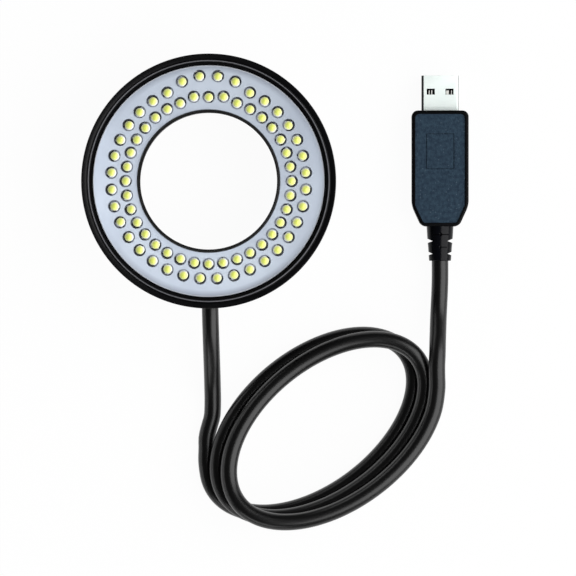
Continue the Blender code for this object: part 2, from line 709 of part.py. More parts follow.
def coil_plan(turn):
    """Centre line of the coil seen from above, after so many turns from its left side."""
    leftmost = math.pi + math.atan2(
        -COIL_SHORT_AXIS * math.sin(COIL_TILT), COIL_LONG_AXIS * math.cos(COIL_TILT)
    )
    angle = leftmost + 2 * math.pi * turn
    point = Vector((COIL_LONG_AXIS * math.cos(angle), COIL_SHORT_AXIS * math.sin(angle)))
    point.rotate(Matrix.Rotation(COIL_TILT, 2))
    return point + Vector(COIL_CENTRE) + Vector(COIL_DRIFT) * turn


def coil_rise(turn):
    """Height that a turn needs to clear the turn below it, which is shifted sideways."""
    here = coil_plan(turn)
    steps = range(-COIL_POINTS_PER_TURN, COIL_POINTS_PER_TURN + 1)
    shifts = [COIL_REACH_SHARE * step / COIL_POINTS_PER_TURN for step in steps]
    aside = min((coil_plan(turn - 1 + shift) - here).length for shift in shifts)
    return math.sqrt(COIL_PITCH ** 2 - aside ** 2)


def coil_height(turn):
    """The first turn lies on the floor, then climbs onto its own start, and so on."""
    if turn >= 1:
        return coil_height(turn - 1) + coil_rise(turn)
    climb = max(0.0, (turn - 1) / COIL_CLIMB_SHARE + 1)
    return CORD_RADIUS + coil_rise(turn) * climb * climb * (3 - 2 * climb)


def coil_points():
    """The coil's turns, with a straight run of one cord diameter at each end."""
    count = round(COIL_TURNS * COIL_POINTS_PER_TURN)
    turns = [COIL_TURNS * i / count for i in range(count + 1)]
    wound = [Vector((*coil_plan(turn), coil_height(turn))) for turn in turns]
    run = Vector((0, 2 * CORD_RADIUS, 0))
    return [wound[0] + run] + wound + [wound[-1] + run]


def least_coil_gap(points):
    """Least distance between the coil's surfaces, measured on points along it."""
    fine = smooth_route(points, CORD_RADIUS / 4)
    lengths = [0.0]
    for start, end in zip(fine, fine[1:]):
        lengths.append(lengths[-1] + (end - start).length)
    least = None
    for i, here in enumerate(fine):
        for j in range(i + 1, len(fine)):
            if lengths[j] - lengths[i] > 8 * CORD_RADIUS:
                gap = (fine[j] - here).length - 2 * CORD_RADIUS
                least = gap if least is None else min(least, gap)
    return least


def make_cord():
    """Free stretches and coil, meeting face to face, and the end held in the housing."""
    coil = coil_points()
    add_tube("cord_coil", coil, CORD_RADIUS, 1, BLACK_RUBBER)
    print(f"least gap of the coil to itself: {least_coil_gap(coil) * 1000:.2f} mm")

    # A stretch runs straight for the last bit before the face that it meets.
    face = Vector((0, SEAT_GAP, 0))
    run = Vector((0, 2 * CORD_RADIUS, 0))
    lead_end = coil[0] + face
    back, drop = lead_end.y + CORD_EXIT, CORD_HEIGHT - lead_end.z
    route = [(x, back * y - CORD_EXIT, lead_end.z + drop * z) for x, y, z in LEAD_ROUTE]
    lead = smooth_route([*route, lead_end + run / 2, lead_end], CORD_SPACING)
    add_tube("cord_lead", lead, CORD_RADIUS, 2, BLACK_RUBBER)

    tail_start = coil[-1] + face
    relief_end = PLUG_REAR - SEAT_GAP - relief_length() - SEAT_GAP
    tail_end = Vector((PLUG_X, relief_end, PLUG_MIDDLE))
    way = tail_end - tail_start
    route = [tail_start + way * Vector(shares) for shares in TAIL_ROUTE]
    route = [tail_start, tail_start + run / 2, *route, tail_end - run, tail_end]
    add_tube("cord_tail", smooth_route(route, CORD_SPACING), CORD_RADIUS, 2, BLACK_RUBBER)

    held = [(0, -CORD_HELD_START, CORD_HEIGHT), (0, -GROMMET_NOSE, CORD_HEIGHT)]
    add_tube("cord_end", held, CORD_RADIUS, 2, BLACK_RUBBER)


def make_cord_entry():
    """Rubber grommet in the wall, and the two wires that rise to the board."""
    grommet = add_object("cord_grommet", turned([
        (CORD_BORE, WALL_INNER),
        (GROMMET_NECK_RADIUS, WALL_INNER),
        (GROMMET_NECK_RADIUS, GROMMET_FLANGE),
        (GROMMET_FLANGE_RADIUS, GROMMET_FLANGE),
        (GROMMET_FLANGE_RADIUS, GROMMET_FLANGE + GROMMET_FLANGE_THICKNESS),
        (GROMMET_NOSE_RADIUS, GROMMET_NOSE),
        (CORD_BORE, GROMMET_NOSE),
    ], BORE_SIDES), BLACK_RUBBER)
    aim(grommet, (0, 0, CORD_HEIGHT), (0, -1, 0))

    start = -CORD_HELD_START + SEAT_GAP
    pad = BOARD_BOTTOM - SEAT_GAP
    for name, side, finish in (("red", -1, RED_WIRE), ("black", 1, BLACK_RUBBER)):
        route = [
            (side * WIRE_SPREAD, start, CORD_HEIGHT),
            (side * WIRE_SPREAD, start + WIRE_RUN, CORD_HEIGHT),
            (side * PAD_SPREAD, -PAD_CIRCLE, pad - WIRE_RUN),
            (side * PAD_SPREAD, -PAD_CIRCLE, pad),
        ]
        add_tube(f"lead_wire_{name}", smooth_route(route, WIRE_RUN), WIRE_RADIUS, 1, finish)


def plug_outline(inset):
    """Half width and length of the plug drawn in by an inset: round front corners and a
    taper to the rear. The rear middle is the origin and the front lies at +Y."""
    half = PLUG_HALF_WIDTH - inset
    rear_half = PLUG_REAR_HALF_WIDTH - inset / 2
    front = PLUG_LENGTH - inset
    corner = PLUG_CORNER - inset / 2
    right = [(rear_half, inset), (half, PLUG_TAPER_LENGTH)]
    for step in range(PLUG_CORNER_STEPS + 1):
        angle = math.pi / 2 * step / PLUG_CORNER_STEPS
        x = half - corner + corner * math.cos(angle)
        right.append((x, front - corner + corner * math.sin(angle)))
    return right + [(-x, y) for x, y in reversed(right)]


def at_height(outline, height):
    return [(x, y, height) for x, y in outline]


def rounded_outline(half_width, half_height, corner, steps):
    """A rectangle with round corners, as (x, z) points."""
    points = []
    for quarter in range(4):
        sign_x = (1, -1, -1, 1)[quarter]
        sign_z = (1, 1, -1, -1)[quarter]
        for step in range(steps + 1):
            angle = math.pi / 2 * (quarter + step / steps)
            x = sign_x * (half_width - corner) + corner * math.cos(angle)
            points.append((x, sign_z * (half_height - corner) + corner * math.sin(angle)))
    return points


def along_plug(outline, start, end):
    """An (x, z) outline drawn out along the plug from start to end, in the plug's frame."""
    return lofted([[(x, y, z) for x, z in outline] for y in (start, end)])


def make_plug():
    """Every piece sits in one frame: the middle of the body's rear face."""
    frame = bpy.data.objects.new("plug_frame", None)
    frame.location = (PLUG_X, PLUG_REAR, PLUG_MIDDLE)
    bpy.context.scene.collection.objects.link(frame)
    pieces = make_plug_body() + make_usb_end()
    for piece in pieces:
        piece.parent = frame


def make_plug_body():
    """Moulded body with a recess and an inset panel on each side, and its cavity."""
    low, high = -PLUG_MIDDLE, PLUG_MIDDLE
    body = add_object("plug_body", lofted([
        at_height(plug_outline(PLUG_CHAMFER), low),
        at_height(plug_outline(0), low + PLUG_CHAMFER),
        at_height(plug_outline(0), high - PLUG_CHAMFER),
        at_height(plug_outline(PLUG_CHAMFER), high),
    ]), BLACK_PLASTIC)
    pieces = [body]
    floor = PLUG_MIDDLE - PANEL_THICKNESS - SEAT_GAP
    for name, side in (("top", 1), ("bottom", -1)):
        outline = plug_outline(PANEL_MARGIN - SEAT_GAP)
        levels = sorted((side * floor, side * (PLUG_MIDDLE + OVERRUN)))
        recess = add_object(f"panel_recess_{name}", prism(outline, *levels))
        boolean(body, recess, "DIFFERENCE")
        levels = sorted((side * (floor + SEAT_GAP), side * PLUG_MIDDLE))
        panel = prism(plug_outline(PANEL_MARGIN), *levels)
        panel = add_object(f"plug_panel_{name}", panel, SLATE_PLASTIC)
        pieces += [recess, panel]

    half_width = SHELL_WIDTH / 2 + SEAT_GAP
    half_height = SHELL_HEIGHT / 2 + SEAT_GAP
    mouth = rounded_outline(half_width, half_height, SHELL_CORNER + SEAT_GAP, MOUTH_CORNER_STEPS)
    bottom = PLUG_LENGTH - PLUG_CAVITY
    cavity = add_object("plug_cavity", along_plug(mouth, bottom, PLUG_LENGTH + OVERRUN))
    boolean(body, cavity, "DIFFERENCE")

    relief = turned(relief_profile(), RELIEF_SIDES, closed=False)
    relief = add_object("strain_relief", relief, BLACK_RUBBER)
    aim(relief, (0, -SEAT_GAP, 0), (0, -1, 0))
    return pieces + [cavity, relief]


def relief_length():
    ribs = sum(RELIEF_RIB_LENGTHS) + RELIEF_SLOT * len(RELIEF_RIB_LENGTHS)
    return RELIEF_COLLAR_LENGTH + ribs


def relief_profile():
    """(radius, distance from the plug) points: a collar, then ribs parted by slots."""
    profile = [(0, 0), (RELIEF_COLLAR_RADIUS, 0)]
    reach = RELIEF_COLLAR_LENGTH
    profile.append((RELIEF_COLLAR_RADIUS, reach - RELIEF_EDGE))
    profile.append((RELIEF_COLLAR_RADIUS - RELIEF_EDGE, reach))
    for wall, length in zip(RELIEF_RIB_WALLS, RELIEF_RIB_LENGTHS):
        profile.append((RELIEF_CORE_RADIUS, reach))
        reach += RELIEF_SLOT
        profile.append((RELIEF_CORE_RADIUS, reach))
        profile.append((CORD_RADIUS + wall, reach))
        reach += length
        profile.append((CORD_RADIUS + wall - RELIEF_EDGE, reach))
    return profile + [(0, reach)]


def make_usb_end():
    """Shell with its windows, tongue with four contacts, core and two wires."""
    tip = PLUG_LENGTH + SHELL_REACH
    rear = PLUG_LENGTH - SHELL_HELD
    half_width = SHELL_WIDTH / 2
    half_height = SHELL_HEIGHT / 2
    outer = rounded_outline(half_width, half_height, SHELL_CORNER, SHELL_CORNER_STEPS)
    shell = add_object("usb_shell", along_plug(outer, rear, tip), STEEL)
    inner = rounded_outline(
        half_width - SHELL_WALL, half_height - SHELL_WALL,
        SHELL_CORNER - SHELL_WALL, SHELL_CORNER_STEPS,
    )
    hollow = add_object("shell_hollow", along_plug(inner, rear - OVERRUN, tip + OVERRUN))
    boolean(shell, hollow, "DIFFERENCE")
    middle = tip - WINDOW_FROM_TIP
    window = block(
        (-WINDOW_WIDTH / 2, middle - WINDOW_LENGTH / 2, -half_height - OVERRUN),
        (WINDOW_WIDTH / 2, middle + WINDOW_LENGTH / 2, half_height + OVERRUN),
    )
    places = [Matrix.Translation((side * WINDOW_OFFSET, 0, 0)) for side in (-1, 1)]
    windows = add_object("shell_windows", gathered(window, places))
    boolean(shell, windows, "DIFFERENCE")

    inner_half = half_width - SHELL_WALL - SEAT_GAP
    tongue_low = -half_height + SHELL_WALL + SEAT_GAP
    tongue_tip = tip - TONGUE_RECESS
    tongue_rear = tongue_tip - TONGUE_LENGTH
    tongue = add_object("usb_insulator", block(
        (-inner_half, tongue_rear, tongue_low),
        (inner_half, tongue_tip, TONGUE_TOP),
    ), BLACK_PLASTIC)
    contact_tip = tongue_tip - CONTACT_RECESS
    slot_half = CONTACT_WIDTH / 2 + SEAT_GAP
    contact_low = TONGUE_TOP - CONTACT_THICKNESS
    slot = block(
        (-slot_half, tongue_rear - OVERRUN, contact_low - SEAT_GAP),
        (slot_half, contact_tip + SEAT_GAP, TONGUE_TOP + OVERRUN),
    )
    places = [Matrix.Translation((offset, 0, 0)) for offset in CONTACT_OFFSETS]
    slots = add_object("contact_slots", gathered(slot, places))
    boolean(tongue, slots, "DIFFERENCE")
    pieces = [shell, hollow, windows, tongue, slots]
    for number, offset in enumerate(CONTACT_OFFSETS, start=1):
        pieces.append(add_object(f"usb_contact_{number}", block(
            (offset - CONTACT_WIDTH / 2, tongue_rear, contact_low),
            (offset + CONTACT_WIDTH / 2, contact_tip, TONGUE_TOP),
        ), GOLD))

    core_front = tongue_rear - SEAT_GAP
    cavity_end = PLUG_LENGTH - PLUG_CAVITY
    core = add_object("plug_core", block(
        (-half_width, cavity_end + SEAT_GAP, -half_height),
        (half_width, core_front, half_height),
    ), WHITE_PLASTIC)
    wire_height = TONGUE_TOP + SEAT_GAP + PLUG_WIRE_RADIUS
    wire_rear = cavity_end + SEAT_GAP
    bore = cylinder(PLUG_WIRE_RADIUS + SEAT_GAP, -OVERRUN, PLUG_CAVITY, SCREW_SIDES)
    sides = (CONTACT_OFFSETS[0], CONTACT_OFFSETS[-1])
    turn = Matrix.Rotation(-math.pi / 2, 4, "X")
    places = [Matrix.Translation((side, wire_rear, wire_height)) @ turn for side in sides]
    bores = add_object("wire_bores", gathered(bore, places))
    boolean(core, bores, "DIFFERENCE")
    pieces += [core, bores]
    for name, side, finish in (("red", sides[0], RED_WIRE), ("black", sides[1], BLACK_RUBBER)):
        ends = [(side, wire_rear, wire_height), (side, wire_rear + PLUG_WIRE_LENGTH, wire_height)]
        pieces.append(add_tube(f"plug_wire_{name}", ends, PLUG_WIRE_RADIUS, 1, finish))
    return pieces


def main():
    clear_scene()
    make_housing()
    make_back_cover()
    make_lamp_plate()
    make_board()
    make_screws()
    make_clamps()
    make_cord_entry()
    make_cord()
    make_plug()


main()
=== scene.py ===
import math
import random

import bmesh
import bpy
from mathutils import Matrix, Vector


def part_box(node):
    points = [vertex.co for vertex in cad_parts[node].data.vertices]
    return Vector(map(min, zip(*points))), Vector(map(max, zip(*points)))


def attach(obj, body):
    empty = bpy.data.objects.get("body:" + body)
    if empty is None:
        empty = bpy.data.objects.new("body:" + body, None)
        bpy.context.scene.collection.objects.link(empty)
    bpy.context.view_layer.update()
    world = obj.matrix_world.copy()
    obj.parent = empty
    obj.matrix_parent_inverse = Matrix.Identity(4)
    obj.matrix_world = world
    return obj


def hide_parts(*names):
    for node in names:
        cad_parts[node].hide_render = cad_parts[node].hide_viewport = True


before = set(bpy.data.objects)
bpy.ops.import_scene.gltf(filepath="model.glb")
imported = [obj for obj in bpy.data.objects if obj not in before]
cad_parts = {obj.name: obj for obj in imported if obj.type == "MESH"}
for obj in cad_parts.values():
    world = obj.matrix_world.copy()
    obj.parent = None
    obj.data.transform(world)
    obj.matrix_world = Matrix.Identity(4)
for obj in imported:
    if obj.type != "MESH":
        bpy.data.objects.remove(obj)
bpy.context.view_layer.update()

scene = bpy.context.scene
scene.view_settings.view_transform = "Standard"

# The picture looks straight down on the lamps from far away, with the ring at the upper
# left and the plug at the upper right. The lens frames 185 mm across at the ring's face.
RING_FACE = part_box("housing")[1].z
CAMERA_DISTANCE = 3.0
CAMERA_REACH = 20.0
PICTURE_WIDTH = 0.18515
SENSOR = 36.0
PICTURE_CENTRE = (0.02552, -0.03439)


def shown(name, data):
    """A new object in the scene."""
    obj = bpy.data.objects.new(name, data)
    scene.collection.objects.link(obj)
    return obj


camera_data = bpy.data.cameras.new("camera")
camera_data.sensor_width = SENSOR
camera_data.lens = SENSOR * CAMERA_DISTANCE / PICTURE_WIDTH
camera_data.clip_end = CAMERA_REACH
camera = shown("camera", camera_data)
camera.location = (*PICTURE_CENTRE, RING_FACE + CAMERA_DISTANCE)
scene.camera = camera

# A white table under everything. It keeps the soft shadow of the cord and the ring, and
# its white for the camera and for reflections comes from the table itself, not the lamps.
TABLE_SIZE = 8.0
TABLE_DROP = 0.0002
TABLE_WHITE = (0.88, 0.88, 0.88)
TABLE_GLOW = 0.96
SHARP_EDGE = 35


def wired(tree, kind, inputs, output=0, **settings):
    """Adds a shader node, sets or links its inputs, and gives one of its outputs."""
    node = tree.nodes.new(f"ShaderNode{kind}")
    for name, value in settings.items():
        setattr(node, name, value)
    for name, value in inputs.items():
        socket = node.inputs[name]
        if isinstance(value, bpy.types.NodeSocket):
            tree.links.new(value, socket)
        elif socket.type == "RGBA":
            socket.default_value = (*value, 1)
        else:
            socket.default_value = value
    return node.outputs[output]


def figured(tree, operation, *values, kind="Math", output=0):
    """The result of a math node, or of a vector math node."""
    return wired(tree, kind, dict(enumerate(values)), output, operation=operation)


def as_object(name, bm, sharp=SHARP_EDGE):
    """Closes a bmesh into a shown object, smooth but for its sharp edges."""
    mesh = bpy.data.meshes.new(name)
    bm.to_mesh(mesh)
    bm.free()
    mesh.shade_smooth()
    mesh.set_sharp_from_angle(angle=math.radians(sharp))
    return shown(name, mesh)


table_top = bmesh.new()
bmesh.ops.create_grid(table_top, x_segments=1, y_segments=1, size=TABLE_SIZE / 2)
bmesh.ops.translate(table_top, verts=table_top.verts, vec=(0, 0, -TABLE_DROP))
table = as_object("white_table", table_top)

table_paint = bpy.data.materials.new("white_table")
table_paint.use_nodes = True
tree = table_paint.node_tree
tree.nodes.remove(tree.nodes["Principled BSDF"])
ray = tree.nodes.new("ShaderNodeLightPath").outputs
direct = figured(tree, "MAXIMUM", ray["Is Camera Ray"], ray["Is Glossy Ray"])
direct = figured(tree, "MAXIMUM", direct, ray["Is Transmission Ray"])
lit_table = wired(tree, "MixShader", {
    0: figured(tree, "MULTIPLY", direct, TABLE_GLOW),
    1: wired(tree, "BsdfDiffuse", {"Color": TABLE_WHITE}),
    2: wired(tree, "Emission", {}),
})
tree.links.new(lit_table, tree.nodes["Material Output"].inputs["Surface"])
table.data.materials.append(table_paint)

# Soft studio light: one large panel at the right that leans over the table, three dim low
# ones at the back, the front and the left, and a dark room that the camera sees as white.
ROOM_LIGHT = 0.06
LAMP_PANELS = (
    ("panel_right", (1.16, -0.20, 1.02), (2.50, 2.05), 54.0),
    ("panel_back", (-0.90, 1.10, 0.45), (1.20, 0.50), 4.0),
    ("panel_low", (-0.60, -1.60, 0.60), (1.60, 0.50), 7.0),
    ("panel_left", (-1.60, -0.10, 0.30), (1.40, 0.30), 3.0),
)

world = bpy.data.worlds.new("studio")
scene.world = world
world.use_nodes = True
tree = world.node_tree
room = tree.nodes["Background"]
room.inputs["Strength"].default_value = ROOM_LIGHT
room.inputs["Color"].default_value = (1, 1, 1, 1)
ray = tree.nodes.new("ShaderNodeLightPath").outputs
backdrop = wired(tree, "Background", {"Color": (1, 1, 1)})
lit_room = wired(tree, "MixShader", {0: ray["Is Camera Ray"], 1: room.outputs[0], 2: backdrop})
tree.links.new(lit_room, tree.nodes["World Output"].inputs["Surface"])

for name, spot, size, power in LAMP_PANELS:
    light = bpy.data.lights.new(name, "AREA")
    light.shape = "RECTANGLE"
    light.size, light.size_y = size
    light.energy = power
    panel_lamp = shown(name, light)
    panel_lamp.location = spot
    panel_lamp.rotation_mode = "QUATERNION"
    panel_lamp.rotation_quaternion = (-Vector(spot)).to_track_quat("-Z", "Y")

# Black cord: a round PVC jacket over two wires, in one length from the grommet in the
# housing to the strain relief of the plug. It comes down to the table, lies in a coil of
# two and a half turns, each on the one before, and rises over the coil to the plug.
CORD_RADIUS = 0.0027
CORD_STEP = 0.0012
CORD_SIDES = 6
CORD_HEIGHT = 0.0138
CORD_EXIT = 0.0407
FACE_GAP = 0.0003
COIL_TURNS = 2.5
COIL_POINTS_PER_TURN = 24
COIL_LONG_AXIS = 0.03765
COIL_SHORT_AXIS = 0.02235
COIL_TILT = math.radians(38.1)
COIL_CENTRE = (0.0319, -CORD_EXIT - 0.0371)
COIL_DRIFT = (0.0036, -0.00136)
COIL_PITCH = 2 * CORD_RADIUS + 0.0007
COIL_CLIMB_SHARE = 0.38
COIL_REACH_SHARE = 0.08
CORD_IN_RELIEF = 0.0020
PATCH_RANGE = (0.36, 0.64)
BUMP_STRENGTH = 0.5
FINE_GRAIN = 0.00001

# Each point of the lead: distance to the side, share of the way back, share of height left
LEAD_ROUTE = (
    (0.00040, 0.0, 1.0), (0.00048, 0.069, 0.991), (0.00060, 0.162, 0.928),
    (0.00073, 0.262, 0.774), (0.00087, 0.362, 0.565), (0.00100, 0.462, 0.347),
    (0.00110, 0.562, 0.164), (0.00118, 0.673, 0.037), (0.00101, 0.773, 0.0),
    (0.00041, 0.828, 0.0), (-0.00029, 0.884, 0.0),
)

# Each point of the tail: shares of the way from the coil's end to the strain relief
TAIL_ROUTE = (
    (0.15, 0.173, 0.095), (0.24, 0.272, 0.270), (0.37, 0.382, 0.527),
    (0.51, 0.493, 0.770), (0.69, 0.603, 0.932), (0.87, 0.713, 1.0),
)


def smooth_route(route, spacing):
    """Points about one spacing apart on a smooth curve through the route's points."""
    knots = [Vector(point) for point in route]
    knots = [2 * knots[0] - knots[1]] + knots + [2 * knots[-1] - knots[-2]]
    points = [knots[1]]
    for before, start, end, after in zip(knots, knots[1:], knots[2:], knots[3:]):
        steps = max(1, round((end - start).length / spacing))
        for step in range(1, steps + 1):
            t = step / steps
            bend = (2 * before - 5 * start + 4 * end - after) * t * t
            twist = (3 * start - before - 3 * end + after) * t * t * t
            points.append((2 * start + (end - before) * t + bend + twist) / 2)
    return points


def coil_plan(turn):
    """Centre line of the coil seen from above, after so many turns from its left side."""
    leftmost = math.pi + math.atan2(
        -COIL_SHORT_AXIS * math.sin(COIL_TILT), COIL_LONG_AXIS * math.cos(COIL_TILT)
    )
    angle = leftmost + 2 * math.pi * turn
    point = Vector((COIL_LONG_AXIS * math.cos(angle), COIL_SHORT_AXIS * math.sin(angle)))
    point.rotate(Matrix.Rotation(COIL_TILT, 2))
    return point + Vector(COIL_CENTRE) + Vector(COIL_DRIFT) * turn


def coil_rise(turn):
    """Height that a turn needs to clear the turn below it, which is shifted sideways."""
    here = coil_plan(turn)
    steps = range(-COIL_POINTS_PER_TURN, COIL_POINTS_PER_TURN + 1)
    shifts = [COIL_REACH_SHARE * step / COIL_POINTS_PER_TURN for step in steps]
    aside = min((coil_plan(turn - 1 + shift) - here).length for shift in shifts)
    return math.sqrt(COIL_PITCH ** 2 - aside ** 2)


def coil_height(turn):
    """The first turn lies on the table, then climbs onto its own start, and so on."""
    if turn >= 1:
        return coil_height(turn - 1) + coil_rise(turn)
    climb = max(0.0, (turn - 1) / COIL_CLIMB_SHARE + 1)
    return CORD_RADIUS + coil_rise(turn) * climb * climb * (3 - 2 * climb)


def cord_route():
    """The whole centre line, from the grommet over the coil to the strain relief."""
    run = Vector((0, 2 * CORD_RADIUS, 0))
    face = Vector((0, FACE_GAP, 0))
    count = round(COIL_TURNS * COIL_POINTS_PER_TURN)
    turns = [COIL_TURNS * i / count for i in range(count + 1)]
    wound = [Vector((*coil_plan(turn), coil_height(turn))) for turn in turns]
    coil = [wound[0] + run] + wound + [wound[-1] + run]

    lead_end = coil[0] + face
    back, drop = lead_end.y + CORD_EXIT, CORD_HEIGHT - lead_end.z
    lead = [(x, back * y - CORD_EXIT, lead_end.z + drop * z) for x, y, z in LEAD_ROUTE]
    lead += [lead_end + run / 2, lead_end]

    plug_low, plug_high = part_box("plug_body")
    plug_middle = (plug_low.x + plug_high.x) / 2
    tail_start = coil[-1] + face
    tail_end = Vector((plug_middle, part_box("cord_tail")[1].y, plug_high.z / 2))
    way = tail_end - tail_start
    tail = [tail_start + way * Vector(shares) for shares in TAIL_ROUTE]
    tail = [tail_start, tail_start + run / 2, *tail, tail_end - run, tail_end]
    tail.append(tail_end + Vector((0, CORD_IN_RELIEF, 0)))
    return [point for part in (lead, coil, tail) for point in smooth_route(part, CORD_STEP)]


def ramped(tree, value, low, high, first=0.0, last=1.0):
    """Goes from first to last as the value goes from low to high, and stays there."""
    return wired(tree, "MapRange", {
        "Value": value, "From Min": low, "From Max": high, "To Min": first, "To Max": last,
    }, "Result")


def mixed(tree, mask, under, over, data_type="RGBA", **settings):
    """A colour, or a number, that goes from one to the other with a mask."""
    ends = {"Factor": mask, "A": under, "B": over}
    return wired(tree, "Mix", ends, "Result", data_type=data_type, **settings)


def effect(name, inputs, outputs):
    """An empty node group: its tree, what it is given and what it gives, by their names."""
    tree = bpy.data.node_groups.new(name, "ShaderNodeTree")
    for way, labels in (("INPUT", inputs), ("OUTPUT", outputs)):
        for label in labels:
            kind = "NodeSocketColor" if "Colour" in label else "NodeSocketFloat"
            tree.interface.new_socket(label, in_out=way, socket_type=kind)
    given = tree.nodes.new("NodeGroupInput").outputs
    return tree, given, tree.nodes.new("NodeGroupOutput").inputs


def grain_group():
    """A moulded or drawn surface: its colour and its gloss wander, and it has a fine grain."""
    tree, given, result = effect("surface_grain", (
        "Colour", "Worn Colour", "Low Gloss", "High Gloss", "Patch Scale", "Grain Scale",
    ), ("Colour", "Roughness", "Height"))
    here = wired(tree, "TexCoord", {}, "Object")
    patches = wired(
        tree, "TexNoise", {"Vector": here, "Scale": given["Patch Scale"], "Detail": 3.0}
    )
    grain = wired(
        tree, "TexNoise", {"Vector": here, "Scale": given["Grain Scale"], "Detail": 2.0}
    )
    patches = ramped(tree, patches, *PATCH_RANGE)
    tint = mixed(tree, patches, given["Colour"], given["Worn Colour"])
    gloss = mixed(tree, grain, given["Low Gloss"], given["High Gloss"], data_type="FLOAT")
    tree.links.new(tint, result["Colour"])
    tree.links.new(gloss, result["Roughness"])
    tree.links.new(grain, result["Height"])
    return tree


surface_grain = grain_group()


def grained(
    name, colour, worn, gloss, patch, grain, depth=FINE_GRAIN, metallic=0, specular=0.5,
):
    """A material of one colour that is never quite even, with a grain of a given depth."""
    material = bpy.data.materials.new(name)
    material.use_nodes = True
    tree = material.node_tree
    shader = tree.nodes["Principled BSDF"].inputs
    shader["Metallic"].default_value = metallic
    shader["Specular IOR Level"].default_value = specular
    surface = wired(tree, "Group", {
        "Colour": colour, "Worn Colour": worn, "Low Gloss": gloss[0], "High Gloss": gloss[1],
        "Patch Scale": patch, "Grain Scale": grain,
    }, node_tree=surface_grain).node.outputs
    bump = wired(tree, "Bump", {
        "Strength": BUMP_STRENGTH, "Distance": depth, "Height": surface["Height"],
    })
    tree.links.new(surface["Colour"], shader["Base Color"])
    tree.links.new(surface["Roughness"], shader["Roughness"])
    tree.links.new(bump, shader["Normal"])
    return material


def jacketed(name, points):
    """A round cord along the points."""
    curve = bpy.data.curves.new(name, "CURVE")
    curve.dimensions = "3D"
    curve.bevel_depth = CORD_RADIUS
    curve.bevel_resolution = CORD_SIDES
    curve.use_fill_caps = True
    spline = curve.splines.new("POLY")
    spline.points.add(len(points) - 1)
    for knot, point in zip(spline.points, points):
        knot.co = (*point, 1.0)
    spline.use_smooth = True
    return shown(name, curve)


def fitted(obj, material, slot, *nodes, body="ring_light"):
    """Gives a finished piece its material and its body, and hides the nodes it stands for. The
    slot is not used.
    """
    obj.data.materials.clear()
    obj.data.materials.append(material)
    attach(obj, body)
    if nodes:
        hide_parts(*nodes)


cord_jacket = grained(
    "cord_jacket", (0.0022, 0.0022, 0.0023), (0.0030, 0.0030, 0.0031), gloss=(0.28, 0.32),
    patch=90, grain=2600, depth=0.000006, specular=0.40,
)
cord_points = cord_route()
cord = jacketed("cord", cord_points)
fitted(cord, cord_jacket, "black_rubber", "cord_lead", "cord_coil", "cord_tail")

# The last bit of the cord is held in the housing: its jacket goes through the grommet and
# ends behind it, where nobody sees it.
held = jacketed("cord_in_housing", [(0, end.y, CORD_HEIGHT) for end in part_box("cord_end")])
fitted(held, cord_jacket, "black_rubber", "cord_end")

# Back cover: one black ABS moulding with the clamp collar and its three bosses behind and
# the bore tube with its thin lip in front. Four screws hold it in the housing.
CLAMP_ANGLES = (90, 210, 330)
COVER_SCREW_ANGLES = (45, 135, 225, 315)
ROUND_STEPS = 192
COLLAR_END = 0.0
COVER_BACK = 0.0090
COVER_FRONT = 0.0108
BORE_RADIUS = 0.0223
COLLAR_OUTER = 0.0253
TUBE_OUTER = 0.0235
LIP_RADIUS = 0.0220
LIP_OUTER = 0.02288
LIP_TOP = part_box("back_cover")[1].z
LIP_SEAT = 0.0211
LIP_STEP = 0.0015
LIP_SLOPE = 0.00038
COVER_RADIUS = 0.0355
COVER_EDGE = 0.0004
PILLAR_CIRCLE = 0.0332
BOSS_RADIUS = 0.0043
BOSS_END = 0.0295
BOSS_IN_COVER = 0.0009
BOSS_IN_COLLAR = 0.0015
CLAMP_HEIGHT = 0.0045
INSERT_SEAT = 0.0032
INSERT_DEPTH = 0.0039
CLAMP_BORE = 0.0023
CLAMP_BORE_END = 0.009
COVER_SCREW_HEAD = 0.0022
COVER_SCREW_SHANK = 0.0012
COUNTERSINK = 0.0010
PAST_THE_FACE = 0.001
SAME_POINT = 0.000001

cover_plastic = grained(
    "cover_plastic", (0.0040, 0.0040, 0.0045), (0.0060, 0.0060, 0.0066),
    gloss=(0.34, 0.46), patch=60, grain=1500, depth=0.00003, specular=0.2,
)


def spun(profile, steps):
    """Spins (radius, height) points about Z. A profile that starts on the axis ends there."""
    bm = bmesh.new()
    verts = [bm.verts.new((radius, 0, height)) for radius, height in profile]
    ends = verts[1:] if profile[0][0] == 0 else verts[1:] + verts[:1]
    edges = [bm.edges.new(pair) for pair in zip(verts, ends)]
    bmesh.ops.spin(
        bm, geom=verts + edges, cent=(0, 0, 0), axis=(0, 0, 1),
        angle=2 * math.pi, steps=steps, use_merge=True,
    )
    bmesh.ops.remove_doubles(bm, verts=bm.verts, dist=SAME_POINT)
    bmesh.ops.recalc_face_normals(bm, faces=bm.faces)
    return bm


def drum(radius, low, high, steps=48):
    """A plain cylinder between two heights."""
    bm = bmesh.new()
    bmesh.ops.create_cone(
        bm, cap_ends=True, segments=steps, radius1=radius, radius2=radius, depth=high - low,
        matrix=Matrix.Translation((0, 0, (low + high) / 2)),
    )
    return bm


def drawn_out(bm, vec):
    """Draws the one flat face of a bmesh out into a solid."""
    grown = bmesh.ops.extrude_face_region(bm, geom=list(bm.faces))["geom"]
    verts = [item for item in grown if isinstance(item, bmesh.types.BMVert)]
    bmesh.ops.translate(bm, verts=verts, vec=vec)
    bmesh.ops.recalc_face_normals(bm, faces=bm.faces)
    return bm


def together(*parts):
    """One bmesh that holds all the parts."""
    whole = bmesh.new()
    for part in parts:
        mesh = bpy.data.meshes.new("part")
        part.to_mesh(mesh)
        part.free()
        whole.from_mesh(mesh)
        bpy.data.meshes.remove(mesh)
    return whole


def placed(bm, *places):
    """One bmesh with a copy of bm at each place."""
    copies = [bm.copy() for _ in places]
    for copy, place in zip(copies, places):
        bmesh.ops.transform(copy, matrix=place, verts=copy.verts)
    bm.free()
    return together(*copies)


